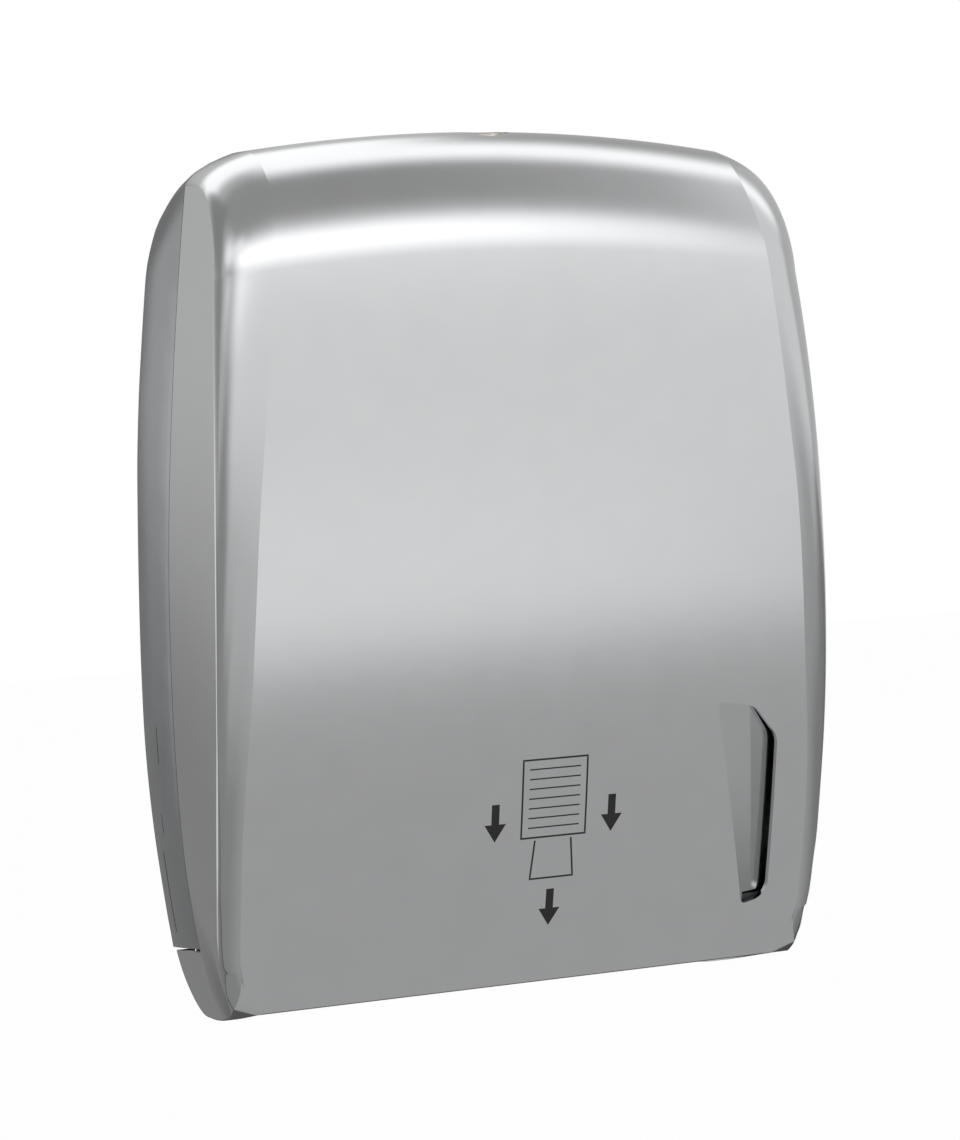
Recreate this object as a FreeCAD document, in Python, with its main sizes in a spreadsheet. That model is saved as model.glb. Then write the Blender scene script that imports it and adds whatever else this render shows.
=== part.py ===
import math
import os
import re

import FreeCAD
import Part
import Sketcher
from FreeCAD import Placement, Rotation, Vector

# A wall dispenser for two stacks of interfolded paper.
# Lengths are in millimetres. X runs to the right, Y towards the wall and Z up. The pieces are drawn with
# the wall at Y = 0 and the lowest point of the case at Z = 0. Their placements then bring the centre of the
# four wall holes to the origin.

os.makedirs("parts", exist_ok=True)
doc = FreeCAD.newDocument("folded_paper_dispenser")
sheet = doc.addObject("Spreadsheet::Sheet", "Dims")

# Driving dimensions: alias, value, meaning
DIMENSIONS = [
    ("case_width", 285.0, "overall width at the widest height"),
    ("case_height", 398.0, "lowest point to the top of the crown"),
    ("case_depth", 129.0, "wall to the fullest point of the front"),
    ("widest_height", 156.0, "height of the widest section"),
    ("upper_side_radius", 2200.0, "side outline above the widest section"),
    ("lower_side_radius", 580.0, "side outline below the widest section"),
    ("front_radius", 930.0, "bow of the front in side view"),
    ("front_bulge_height", 192.0, "height of the fullest point of the front"),
    ("front_edge_height", 27.5, "height of the bottom edge of the front"),
    ("arch_radius", 720.0, "arch of the top in front view"),
    ("crown_depth", 64.0, "wall to the highest line of the crown"),
    ("rear_drop", 12.0, "how far the crown falls to the wall"),
    ("roundover_radius", 50.0, "crown to front, in side view"),
    ("edge_radius_bottom", 3.0, "side edge of the front at its bottom"),
    ("edge_radius_widest", 13.0, "side edge at the widest height"),
    ("edge_radius_rear", 28.0, "side edge of the crown at the wall"),
    ("base_depth", 50.0, "wall to the parting line"),
    ("parting_gap", 0.6, "gap between cover and back shell"),
    ("cover_wall", 2.5, "wall of the cover"),
    ("base_wall", 2.5, "cheeks and top of the back shell"),
    ("back_wall", 3.0, "back plate of the back shell"),
    ("pivot_depth", 24.0, "wall to the hinge axis"),
    ("keel_radius", 23.6, "round bottom of the hooks about the hinge axis"),
    ("keel_step", 8.0, "height above the axis where the keel clears the wall"),
    ("hook_front_height", 38.0, "top of the hook at the parting line"),
    ("hook_rear_height", 25.0, "top of the hook at the wall"),
    ("recess_side", 24.9, "widest side of the case to the inner wall of the hook recess"),
    ("swing_clearance", 0.6, "air round the swinging hook"),
    ("return_lip", 18.0, "lip behind the bottom edge of the front"),
    ("keel_lip", 20.0, "rolled lower edge of the back shell, from the wall"),
    ("hinge_pin_radius", 2.5, "hinge pin"),
    ("hinge_clearance", 0.05, "running clearance round the pin"),
    ("hinge_ear", 4.5, "thickness of the ears of the back shell"),
    ("hinge_gap", 0.4, "air between ear and hook boss"),
    ("hinge_boss_radius", 7.0, "boss inside the hook"),
    ("hinge_pin_reach", 6.4, "pin beyond the ear"),
    ("hinge_bore_spare", 0.6, "bore deeper than the pin"),
    ("hinge_head_radius", 4.5, "head of the hinge pin"),
    ("hinge_head_thickness", 2.0, "head of the hinge pin"),
    ("flute_radius", 84.0, "hollow along the cheek, in plan"),
    ("flute_depth", 12.0, "hollow of the cheek at the hook"),
    ("flute_end_height", 205.0, "height where the hollow runs out"),
    ("mount_height", 215.0, "centre of the wall holes above the lowest point"),
    ("mount_spacing_x", 180.0, "wall holes, across"),
    ("mount_spacing_z", 240.0, "wall holes, upright"),
    ("mount_hole_radius", 2.75, "wall hole"),
    ("mount_pad_radius", 9.0, "pad round a wall hole"),
    ("mount_pad_thickness", 1.5, "pad round a wall hole"),
    ("window_top", 149.5, "upper left corner of the window"),
    ("window_bottom", 53.5, "lower corner of the window"),
    ("window_side", 26.3, "widest side of the case to the right side of the window"),
    ("window_top_width", 30.6, "upper left corner of the window to its right side"),
    ("window_bottom_width", 12.7, "lower left corner of the window to its right side"),
    ("window_shoulder", 12.0, "sloped top corner of the window"),
    ("window_small_round", 2.0, "tight corners of the window"),
    ("window_large_round", 9.0, "wide corners of the window"),
    ("tray_height", 49.0, "top of the tray's floor"),
    ("tray_wall", 2.5, "floor, rim and flange of the tray"),
    ("tray_side_gap", 1.5, "air between tray and cover, at the sides"),
    ("tray_front_gap", 1.0, "air between tray and cover, in front"),
    ("tray_ear_gap", 0.5, "air between tray and hinge ears"),
    ("tray_rim", 8.0, "rim above the floor"),
    ("tray_flange_height", 21.0, "rear flange above the floor"),
    ("tray_corner_radius", 4.0, "front corners of the tray"),
    ("tray_boss_length", 8.0, "screw bosses of the back shell"),
    ("tray_boss_radius", 5.0, "screw bosses of the back shell"),
    ("tray_screw_outer", 88.0, "outer screws from the middle"),
    ("tray_screw_inner", 30.0, "inner screws from the middle"),
    ("tray_screw_rise", 12.0, "screws above the tray's floor"),
    ("screw_radius", 2.0, "tapping screw"),
    ("screw_head_radius", 4.0, "head of a tapping screw"),
    ("screw_head_thickness", 2.4, "head of a tapping screw"),
    ("screw_grip", 6.0, "screw in its boss"),
    ("pilot_spare", 0.5, "pilot hole deeper than the screw"),
    ("screw_hole_clearance", 0.3, "hole of the fastened piece round the screw"),
    ("outlet_length", 75.0, "outlet, across"),
    ("outlet_width", 40.0, "outlet, front to back"),
    ("outlet_spacing", 114.0, "between the outlets"),
    ("outlet_depth", 66.0, "wall to the middle of the outlets"),
    ("outlet_wall", 2.5, "wall of the outlet ring"),
    ("outlet_flange", 3.0, "flange of the outlet ring"),
    ("outlet_flange_thickness", 1.5, "flange of the outlet ring"),
    ("outlet_skirt", 3.0, "outlet ring below the floor"),
    ("outlet_seat_clearance", 0.2, "hole of the tray round the ring"),
    ("divider_thickness", 2.5, "partition"),
    ("divider_reach", 105.0, "wall to the front edge of the partition"),
    ("divider_head_room", 68.0, "crown line to the top of the partition"),
    ("divider_corner_radius", 30.0, "front top corner of the partition"),
    ("divider_wall_gap", 0.3, "air between partition and back plate"),
    ("divider_foot_gap", 0.3, "air between partition and floor"),
    ("divider_tab_length", 15.0, "tab in the tray's floor"),
    ("divider_tab_drop", 5.0, "tab below the floor's top"),
    ("divider_tab_rear", 28.0, "wall to the rear tab"),
    ("divider_tab_front", 84.0, "wall to the front tab"),
    ("divider_clearance", 0.3, "air on each side of the partition in slots and ribs"),
    ("divider_step_spare", 5.0, "tray's flange to the step in the partition's rear edge"),
    ("guide_rib_thickness", 2.0, "ribs that hold the partition"),
    ("guide_rib_depth", 20.0, "ribs, from the back plate"),
    ("guide_rib_bottom", 82.0, "lower end of the ribs"),
    ("guide_rib_stop", 8.0, "top of the partition to the upper end of the ribs"),
    ("lock_depth", 66.0, "wall to the lock's axis"),
    ("lock_sink", 0.5, "lock face below the highest line"),
    ("lock_flange_radius", 10.0, "flange of the lock"),
    ("lock_flange_thickness", 1.5, "flange of the lock"),
    ("lock_body_radius", 8.0, "threaded body of the lock"),
    ("lock_body_length", 22.0, "threaded body of the lock"),
    ("lock_seat_clearance", 0.15, "cover's hole round the lock"),
    ("lock_pad_radius", 13.0, "pad under the crown"),
    ("lock_pad_bottom", 12.0, "crown line to the underside of the pad"),
    ("lock_nut_width", 22.0, "nut across its flats"),
    ("lock_nut_thickness", 4.0, "nut"),
    ("barrel_radius", 5.5, "turning plug"),
    ("barrel_clearance", 0.05, "running clearance of the plug"),
    ("barrel_head_radius", 6.5, "head of the plug"),
    ("barrel_head_thickness", 1.2, "head of the plug"),
    ("barrel_head_clearance", 0.2, "air round and under the head"),
    ("barrel_tail", 7.0, "square tail across its flats"),
    ("barrel_tail_length", 2.6, "square tail below the body"),
    ("key_slot_length", 7.0, "key slot"),
    ("key_slot_width", 1.2, "key slot"),
    ("key_slot_depth", 9.0, "key slot"),
    ("cam_thickness", 2.0, "cam"),
    ("cam_width", 12.0, "cam"),
    ("cam_reach", 26.0, "axis to the cam's tip"),
    ("cam_gap", 0.3, "air between housing and cam"),
    ("cam_fit", 0.1, "cam's square hole round the tail"),
    ("washer_radius", 5.5, "washer under the cam"),
    ("washer_thickness", 0.8, "washer under the cam"),
    ("cam_screw_radius", 1.5, "cam screw"),
    ("cam_screw_length", 8.0, "threaded hole for the cam screw in the plug"),
    ("cam_screw_spare", 1.0, "hole deeper than the cam screw"),
    ("cam_screw_head_radius", 3.0, "cam screw's head"),
    ("cam_screw_head_thickness", 2.0, "cam screw's head"),
    ("keeper_thickness", 2.0, "bracket"),
    ("keeper_width", 16.0, "bracket"),
    ("keeper_side", 14.0, "near side of the bracket from the middle"),
    ("keeper_plate_drop", 13.0, "crown line to the top of the bracket"),
    ("keeper_rear", 18.0, "wall to the rear end of the bracket"),
    ("keeper_cam_gap", 0.6, "air between the locked cam and the lip"),
    ("keeper_lip_height", 16.0, "lip of the bracket"),
    ("keeper_screw_rear", 25.0, "wall to the rear screw"),
    ("keeper_screw_pitch", 17.0, "between the bracket's screws"),
    ("keeper_boss_radius", 4.5, "bosses under the top"),
]

NOTE_COLUMN = "A"
VALUE_COLUMN = "B"
for row, (alias, number, meaning) in enumerate(DIMENSIONS, start=1):
    sheet.set(f"{NOTE_COLUMN}{row}", meaning)
    sheet.set(f"{VALUE_COLUMN}{row}", str(number))
    sheet.setAlias(f"{VALUE_COLUMN}{row}", alias)
doc.recompute()

ALIASES = [alias for alias, number, meaning in DIMENSIONS]
ALIAS_WORD = re.compile(r"\b(" + "|".join(ALIASES) + r")\b")
OVERRUN = 5.0
FAR = 200.0
PAST = f"{OVERRUN}"
LEFTMOST = f"-{FAR}"
WHOLE_WIDTH = f"{2 * FAR}"
LOWEST = f"-{OVERRUN}"
WHOLE_HEIGHT = f"(case_height + {2 * OVERRUN})"


def size(alias):
    """The number in the sheet's cell with this alias."""
    return float(sheet.get(alias))


def bind(target, path, formula):
    """Ties a property to a formula of the sheet's aliases."""
    target.setExpression(path, ALIAS_WORD.sub(r"Dims.\1", str(formula)))


def bind_position(target, position):
    """Ties the base point of an object's placement to three formulas."""
    for axis, formula in zip("xyz", position):
        bind(target, f"Placement.Base.{axis}", formula)


# Formulas used by several pieces

PIVOT = ("0", "-pivot_depth", "keel_radius")
BASE_FRONT = "-(base_depth - parting_gap / 2)"
COVER_REAR = "-(base_depth + parting_gap / 2)"
RECESS_HALF = "(case_width / 2 - recess_side)"
BOSS_INNER = f"({RECESS_HALF} + hinge_gap)"
EAR_INNER = f"({RECESS_HALF} - hinge_ear)"
TRAY_FRONT = ("-(case_depth - (front_bulge_height - tray_height)^2 / (2 * front_radius)"
              " - cover_wall - tray_front_gap)")
TRAY_HALF = ("(case_width / 2 - lower_side_radius - cover_wall - tray_side_gap"
             " + sqrt(lower_side_radius^2 - (widest_height - tray_height + tray_wall)^2))")
TRAY_REAR = "-(back_wall + tray_boss_length)"
TRAY_INNER_HALF = f"({EAR_INNER} - tray_ear_gap)"
LOCK_FACE = "(case_height - lock_sink)"
LOCK_SHOULDER = "(case_height - lock_sink - lock_flange_thickness)"
LOCK_BOTTOM = "(case_height - lock_sink - lock_flange_thickness - lock_body_length)"
KEEPER_TOP = "(case_height - keeper_plate_drop)"
KEEPER_FRONT = "(lock_depth + cam_width / 2 + keeper_cam_gap + keeper_thickness)"
KEEPER_MIDDLE = "keeper_side + keeper_width / 2"
DIVIDER_TOP = "(case_height - divider_head_room)"


# Drawing helpers: each adds one object to the document

AXIS_TURN = {
    "x": Rotation(Vector(0, 1, 0), 90),
    "y": Rotation(Vector(1, 0, 0), -90),
    "z": Rotation(),
}


def box(name, corner, lengths):
    """A block from its low corner, with three lengths."""
    block = doc.addObject("Part::Box", name)
    for side, formula in zip(("Length", "Width", "Height"), lengths):
        bind(block, side, formula)
    bind_position(block, corner)
    return block


def cylinder(name, axis, foot, radius, length):
    """A cylinder that starts at foot and runs along +axis."""
    rod = doc.addObject("Part::Cylinder", name)
    rod.Placement = Placement(Vector(), AXIS_TURN[axis])
    bind(rod, "Radius", radius)
    bind(rod, "Height", length)
    bind_position(rod, foot)
    return rod


def fuse(name, *pieces):
    """The union of several objects."""
    union = doc.addObject("Part::MultiFuse", name)
    union.Shapes = list(pieces)
    return union


def cut(name, base, *tools):
    """The base without the tools."""
    result = doc.addObject("Part::Cut", name)
    result.Base = base
    result.Tool = tools[0] if len(tools) == 1 else fuse(name + "_tools", *tools)
    return result


def common(name, first, second):
    """What two objects share."""
    shared = doc.addObject("Part::Common", name)
    shared.Base = first
    shared.Tool = second
    return shared


def mirrored(name, source):
    """The copy of an object on the other side of the middle plane."""
    twin = doc.addObject("Part::Mirroring", name)
    twin.Source = source
    twin.Base = Vector(0, 0, 0)
    twin.Normal = Vector(1, 0, 0)
    return twin


def both_sides(name, source):
    """An object and its mirrored copy, in one."""
    return fuse(name, source, mirrored(name + "_mirrored", source))


def drawn(name, shape):
    """An object whose shape is worked out from the sheet's numbers."""
    feature = doc.addObject("Part::Feature", name)
    feature.Shape = shape
    return feature


def prism_x(outline, low, high):
    """A prism along X over a closed outline of edges in the YZ plane."""
    face = Part.Face(Part.Wire(Part.sortEdges(outline)[0]))
    face.translate(Vector(low, 0, 0))
    return face.extrude(Vector(high - low, 0, 0))


def lines_through(points):
    """Straight edges through the points, closed."""
    loop = points + points[:1]
    return [Part.LineSegment(a, b).toShape() for a, b in zip(loop, loop[1:])]


nodes = {}


def keep(piece, name):
    """Names a finished sub-part and brings the wall holes' centre to the origin."""
    piece.Label = name
    bind(piece, "Placement.Base.z", "-mount_height")
    nodes[name] = piece
    return piece


# The outer form of the case, and the same form a wall thickness further in

def touching_circle(first, first_radius, second, second_radius):
    """The centre at the given distances from two centres, in front of the line that joins them."""
    run_y = second[0] - first[0]
    run_z = second[1] - first[1]
    gap = math.hypot(run_y, run_z)
    along = (first_radius ** 2 - second_radius ** 2 + gap ** 2) / (2 * gap)
    aside = math.sqrt(first_radius ** 2 - along ** 2)
    foot_y = first[0] + along * run_y / gap
    foot_z = first[1] + along * run_z / gap
    return foot_y - aside * run_z / gap, foot_z + aside * run_y / gap


def on_circle(centre, radius, angle):
    """The point of a circle in the YZ plane at an angle from +Y."""
    return centre[0] + radius * math.cos(angle), centre[1] + radius * math.sin(angle)


def front_circle():
    """The centre of the bowed front in side view."""
    return size("front_radius") - size("case_depth"), size("front_bulge_height")


def underside(inset):
    """The front corner of the straight underside, the point where it meets the keel, and the keel's angle there."""
    front = front_circle()
    front_radius = size("front_radius") - inset
    keel = size("keel_radius")
    pivot = (-size("pivot_depth"), keel)
    edge_z = size("front_edge_height")
    edge_y = front[0] - math.sqrt(size("front_radius") ** 2 - (front[1] - edge_z) ** 2)
    edge_run = math.hypot(edge_y - pivot[0], edge_z - pivot[1])
    touch = math.atan2(edge_z - pivot[1], edge_y - pivot[0]) + math.acos(keel / edge_run)
    low = on_circle(pivot, keel - inset, touch)
    tangent = (math.sin(touch), -math.cos(touch))
    to_front = (low[0] - front[0], low[1] - front[1])
    along = to_front[0] * tangent[0] + to_front[1] * tangent[1]
    apart = to_front[0] ** 2 + to_front[1] ** 2 - front_radius ** 2
    travel = -along + math.sqrt(along ** 2 - apart)
    corner = (low[0] + travel * tangent[0], low[1] + travel * tangent[1])
    return corner, low, touch % (2 * math.pi)


def front_profile(inset):
    """Points of the middle section, from behind the wall over the crown and down to the front's bottom edge."""
    drop_radius = (size("crown_depth") ** 2 + size("rear_drop") ** 2) / (2 * size("rear_drop"))
    crown = (-size("crown_depth"), size("case_height") - drop_radius)
    front = front_circle()
    blend = size("roundover_radius")
    shoulder = touching_circle(crown, drop_radius - blend, front, size("front_radius") - blend)
    start = math.acos((OVERRUN - crown[0]) / (drop_radius - inset))
    upper = math.atan2(shoulder[1] - crown[1], shoulder[0] - crown[0])
    lower = math.atan2(shoulder[1] - front[1], shoulder[0] - front[0])
    corner = underside(inset)[0]
    end = math.atan2(corner[1] - front[1], corner[0] - front[0]) % (2 * math.pi)
    front_radius = size("front_radius") - inset
    arcs = [
        (crown, drop_radius - inset, start, upper),
        (shoulder, blend - inset, upper, lower),
        (front, front_radius, lower, math.pi),
        (front, front_radius, math.pi, end),
    ]
    steps = 8
    points = [on_circle(crown, drop_radius - inset, start)]
    for centre, radius, first, last in arcs:
        for step in range(1, steps + 1):
            points.append(on_circle(centre, radius, first + (last - first) * step / steps))
    return points


def case_solid(inset):
    """The case before its sides are cut: one section in side view, its top lowered to each side by the arch."""
    profile = front_profile(inset)
    low, touch = underside(inset)[1:]
    pivot = (-size("pivot_depth"), size("keel_radius"))
    keel = size("keel_radius") - inset
    keel_middle = on_circle(pivot, keel, (touch + 2 * math.pi) / 2)
    behind = pivot[0] + keel
    step_z = pivot[1] + size("keel_step")
    bulge = size("front_bulge_height")
    height = size("case_height") - bulge
    arch = size("arch_radius")
    reach = size("case_width") / 2 + 2 * OVERRUN
    half_count = 4
    wires = []
    for station in range(-half_count, half_count + 1):
        across = reach * station / half_count
        share = 1 - (arch - math.sqrt(arch ** 2 - across ** 2)) / height

        def at(point):
            lifted = bulge + (point[1] - bulge) * share if point[1] > bulge else point[1]
            return Vector(across, point[0], lifted)

        curve = Part.BSplineCurve()
        curve.interpolate([at(point) for point in profile])
        stops = [at((behind, pivot[1])), at((behind, step_z)), at((OVERRUN, step_z)), at(profile[0])]
        edges = [curve.toShape(), Part.LineSegment(at(profile[-1]), at(low)).toShape(),
                 Part.Arc(at(low), at(keel_middle), stops[0]).toShape()]
        edges += [Part.LineSegment(*pair).toShape() for pair in zip(stops, stops[1:])]
        wires.append(Part.Wire(edges))
    return Part.makeLoft(wires, True, False)


def outline_solid(inset):
    """The prism along Y over the front outline: two arcs on each side, tangent at the widest height."""
    widest = size("widest_height")
    half = size("case_width") / 2
    low_z = -OVERRUN
    high_z = size("case_height") + OVERRUN

    def side(z):
        radius = size("upper_side_radius") if z >= widest else size("lower_side_radius")
        return half - radius + math.sqrt((radius - inset) ** 2 - (z - widest) ** 2)

    edges = []
    for sign in (-1, 1):
        for first, last in ((low_z, widest), (widest, high_z)):
            middle = (first + last) / 2
            # The middle height uses its own arc's radius, so both halves stay true circles
            spots = [Vector(sign * side(z), OVERRUN, z) for z in (first, middle, last)]
            edges.append(Part.Arc(*spots).toShape())
    for z in (low_z, high_z):
        edges.append(Part.LineSegment(Vector(-side(z), OVERRUN, z), Vector(side(z), OVERRUN, z)).toShape())
    face = Part.Face(Part.Wire(Part.sortEdges(edges)[0]))
    return face.extrude(Vector(0, -size("case_depth") - 2 * OVERRUN, 0))


def edge_radius(point, inset):
    """The radius of the side edge at one of its ends, a wall thickness less on the inside."""
    least = 0.8
    near = 1.0
    if point.z < size("front_edge_height") + near + 2 * inset:
        radius = size("edge_radius_bottom")
    elif abs(point.z - size("widest_height")) < near:
        radius = size("edge_radius_widest")
    else:
        radius = size("edge_radius_rear")
    return max(radius - inset, least)


def case_form(name, inset):
    """The case with its side edges rounded, the radius growing from the bottom to the crown."""
    whole = case_solid(inset).common(outline_solid(inset))
    sharp = drawn(name + "_sharp", whole.Solids[0])
    rounded = doc.addObject("Part::Fillet", name)
    rounded.Base = sharp
    front_side = -size("case_depth") * 0.8
    choices = []
    for number, edge in enumerate(sharp.Shape.Edges, start=1):
        bounds = edge.BoundBox
        spans_middle = bounds.XMin < 0 < bounds.XMax
        starts_low = bounds.ZMin > size("front_edge_height") - OVERRUN
        if spans_middle or not starts_low or bounds.YMin > front_side or bounds.ZLength < OVERRUN:
            continue
        ends = [edge.valueAt(edge.FirstParameter), edge.valueAt(edge.LastParameter)]
        choices.append((number, edge_radius(ends[0], inset), edge_radius(ends[1], inset)))
    rounded.Edges = choices
    return rounded


case_outer = case_form("case_outer", 0.0)
cover_core = case_form("cover_core", size("cover_wall"))
base_core = case_form("base_core", size("base_wall"))
doc.recompute()


# The hook: the part of each side wall that goes back to the wall, below a sloping line

def below_hook_line(name, lift, inner, outer):
    """Everything below the hook's top line, raised by lift, from inner to outer beside the middle."""
    rear_z = size("hook_rear_height") + lift
    front_z = size("hook_front_height") + lift
    front_y = -size("base_depth") - size("parting_gap")
    points = [
        Vector(0, OVERRUN, -OVERRUN),
        Vector(0, OVERRUN, rear_z),
        Vector(0, 0, rear_z),
        Vector(0, front_y, front_z),
        Vector(0, front_y, -OVERRUN),
    ]
    return drawn(name, prism_x(lines_through(points), inner, outer))


# Cover shell

cover_front_zone = box("cover_front_zone", (LEFTMOST, "-case_depth - " + PAST, LOWEST),
                       (WHOLE_WIDTH, f"case_depth + {PAST} - base_depth - parting_gap / 2", WHOLE_HEIGHT))
cover_zone = fuse("cover_zone", cover_front_zone, below_hook_line("hook_zone", 0.0, -FAR, FAR))
cover_outer = common("cover_outer", case_outer, cover_zone)
cover_skin = cut("cover_skin", cover_outer, cover_core)

LIP_REAR = "(case_depth - (front_bulge_height - front_edge_height)^2 / (2 * front_radius) - return_lip)"
cover_underside = box("cover_underside", ("-" + BOSS_INNER, "-" + LIP_REAR, LOWEST),
                      ("2 * " + BOSS_INNER, f"{LIP_REAR} + {PAST}", f"hook_front_height + 2 * {PAST}"))

hinge_boss = cylinder("hinge_boss", "x", (BOSS_INNER,) + PIVOT[1:], "hinge_boss_radius", "recess_side")
hinge_bosses = common("hinge_bosses", both_sides("hinge_boss_pair", hinge_boss), case_outer)
hinge_bore = cylinder("hinge_bore", "x", (RECESS_HALF,) + PIVOT[1:],
                      "hinge_pin_radius + hinge_clearance", "hinge_pin_reach + hinge_bore_spare")
hinge_bores = both_sides("hinge_bores", hinge_bore)

lock_pad = cylinder("lock_pad", "z", ("0", "-lock_depth", "case_height - lock_pad_bottom"),
                    "lock_pad_radius", "lock_pad_bottom + " + PAST)
lock_pad_trimmed = common("lock_pad_trimmed", lock_pad, case_outer)
lock_hole = cylinder("lock_hole", "z", ("0", "-lock_depth", "case_height - lock_pad_bottom - " + PAST),
                     "lock_body_radius + lock_seat_clearance", f"lock_pad_bottom + 2 * {PAST}")
lock_seat = cylinder("lock_seat", "z", ("0", "-lock_depth", LOCK_SHOULDER),
                     "lock_flange_radius + lock_seat_clearance", "2 * " + PAST)


def window_prism():
    """The slanted window, cut straight back through the front."""
    top = size("window_top")
    bottom = size("window_bottom")
    right = size("case_width") / 2 - size("window_side")
    shoulder = size("window_shoulder")
    front_y = -size("case_depth") - OVERRUN
    corners = [
        (right - size("window_bottom_width"), bottom),
        (right - size("window_top_width"), top),
        (right - shoulder, top - shoulder / 4),
        (right, top - shoulder * 1.5),
        (right, bottom + shoulder / 4),
    ]
    face = Part.Face(Part.makePolygon([Vector(x, front_y, z) for x, z in corners + corners[:1]]))
    prism = face.extrude(Vector(0, size("case_depth") / 2, 0))
    small = size("window_small_round")
    large = size("window_large_round")
    near = 0.01
    for radius, wanted in ((small, corners[:2]), (large, corners[2:])):
        edges = [edge for edge in prism.Edges for x, z in wanted
                 if edge.BoundBox.YLength > OVERRUN
                 and abs(edge.BoundBox.XMin - x) < near and abs(edge.BoundBox.ZMin - z) < near]
        prism = prism.makeFillet(radius, edges)
    return prism


window = drawn("window", window_prism())
cover_open = cut("cover_open", cover_skin, cover_underside, window)
cover_full = fuse("cover_full", cover_open, hinge_bosses, lock_pad_trimmed)
keep(cut("cover", cover_full, hinge_bores, lock_hole, lock_seat), "cover_shell")


# Back shell

base_zone = box("base_zone", (LEFTMOST, BASE_FRONT, LOWEST),
                (WHOLE_WIDTH, "base_depth - parting_gap / 2", WHOLE_HEIGHT))
base_outer = common("base_outer", case_outer, base_zone)
base_hollow_zone = box("base_hollow_zone", (LEFTMOST, "-base_depth - " + PAST, LOWEST),
                       (WHOLE_WIDTH, f"base_depth + {PAST} - back_wall", WHOLE_HEIGHT))
base_hollow = common("base_hollow", base_core, base_hollow_zone)
base_skin = cut("base_skin", base_outer, base_hollow)

recess_wall = cylinder("recess_wall", "x", (EAR_INNER,) + PIVOT[1:],
                       "keel_radius + swing_clearance + base_wall", "case_width / 2 - " + EAR_INNER)
recess_space = cylinder("recess_space", "x", (RECESS_HALF,) + PIVOT[1:],
                        "keel_radius + swing_clearance", "case_width / 2")


def flute_cylinder(name, radius):
    """A long cylinder beside the cheek, leaning outwards as it rises."""
    half = size("case_width") / 2
    low = size("hook_front_height")
    high = size("flute_end_height")
    drop = size("widest_height") - low
    low_half = half - size("lower_side_radius") + math.sqrt(size("lower_side_radius") ** 2 - drop ** 2)
    flute_radius = size("flute_radius")
    start = Vector(low_half + flute_radius - size("flute_depth"), -size("base_depth"), low)
    end = Vector(half + flute_radius, -size("base_depth"), high)
    lean = (end - start).normalize()
    foot = start - lean * (low + 2 * OVERRUN)
    return drawn(name, Part.makeCylinder(radius, high + 4 * OVERRUN, foot, lean))


flute_wall = flute_cylinder("flute_wall", size("flute_radius") + size("base_wall"))
flute_whole = flute_cylinder("flute_whole", size("flute_radius"))
rim_zone = box("rim_zone", (LEFTMOST, f"{BASE_FRONT} - {PAST}", LOWEST),
               (WHOLE_WIDTH, PAST + " + base_wall", WHOLE_HEIGHT))
flute_space = cut("flute_space", flute_whole, common("flute_rim", base_core, rim_zone))
keeper_bosses = []
for number in range(2):
    spot = (KEEPER_MIDDLE, f"-(keeper_screw_rear + {number} * keeper_screw_pitch)", KEEPER_TOP)
    keeper_bosses.append(cylinder(f"keeper_boss_{number}", "z", spot, "keeper_boss_radius", "keeper_plate_drop"))
side_walls = both_sides("side_walls", fuse("side_wall", recess_wall, flute_wall))

SCREW_PLACES = ("-tray_screw_outer", "-tray_screw_inner", "tray_screw_inner", "tray_screw_outer")
SCREW_Z = "tray_height + tray_screw_rise"
tray_bosses = [
    cylinder(f"tray_boss_{number}", "y", (across, TRAY_REAR, SCREW_Z),
             "tray_boss_radius", "tray_boss_length + back_wall / 2")
    for number, across in enumerate(SCREW_PLACES)
]
guide_ribs = [
    box(f"guide_rib_{number}", (across, "-(back_wall + guide_rib_depth)", "guide_rib_bottom"),
        ("guide_rib_thickness", "guide_rib_depth + back_wall / 2",
         DIVIDER_TOP + " - guide_rib_stop - guide_rib_bottom"))
    for number, across in enumerate((
        "divider_thickness / 2 + divider_clearance",
        "-(divider_thickness / 2 + divider_clearance + guide_rib_thickness)",
    ))
]
MOUNT_PLACES = [
    (f"{across} * mount_spacing_x / 2", f"mount_height + {upright} * mount_spacing_z / 2")
    for across in (-1, 1) for upright in (-1, 1)
]
mount_pads = [
    cylinder(f"mount_pad_{number}", "y", (across, "-(back_wall + mount_pad_thickness)", upright),
             "mount_pad_radius", "mount_pad_thickness + back_wall / 2")
    for number, (across, upright) in enumerate(MOUNT_PLACES)
]
base_inside = fuse("base_inside", side_walls, *keeper_bosses)
base_inside_trimmed = common("base_inside_trimmed", base_inside, base_outer)
base_solid = fuse("base_solid", base_skin, base_inside_trimmed, *tray_bosses, *guide_ribs, *mount_pads)

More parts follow.
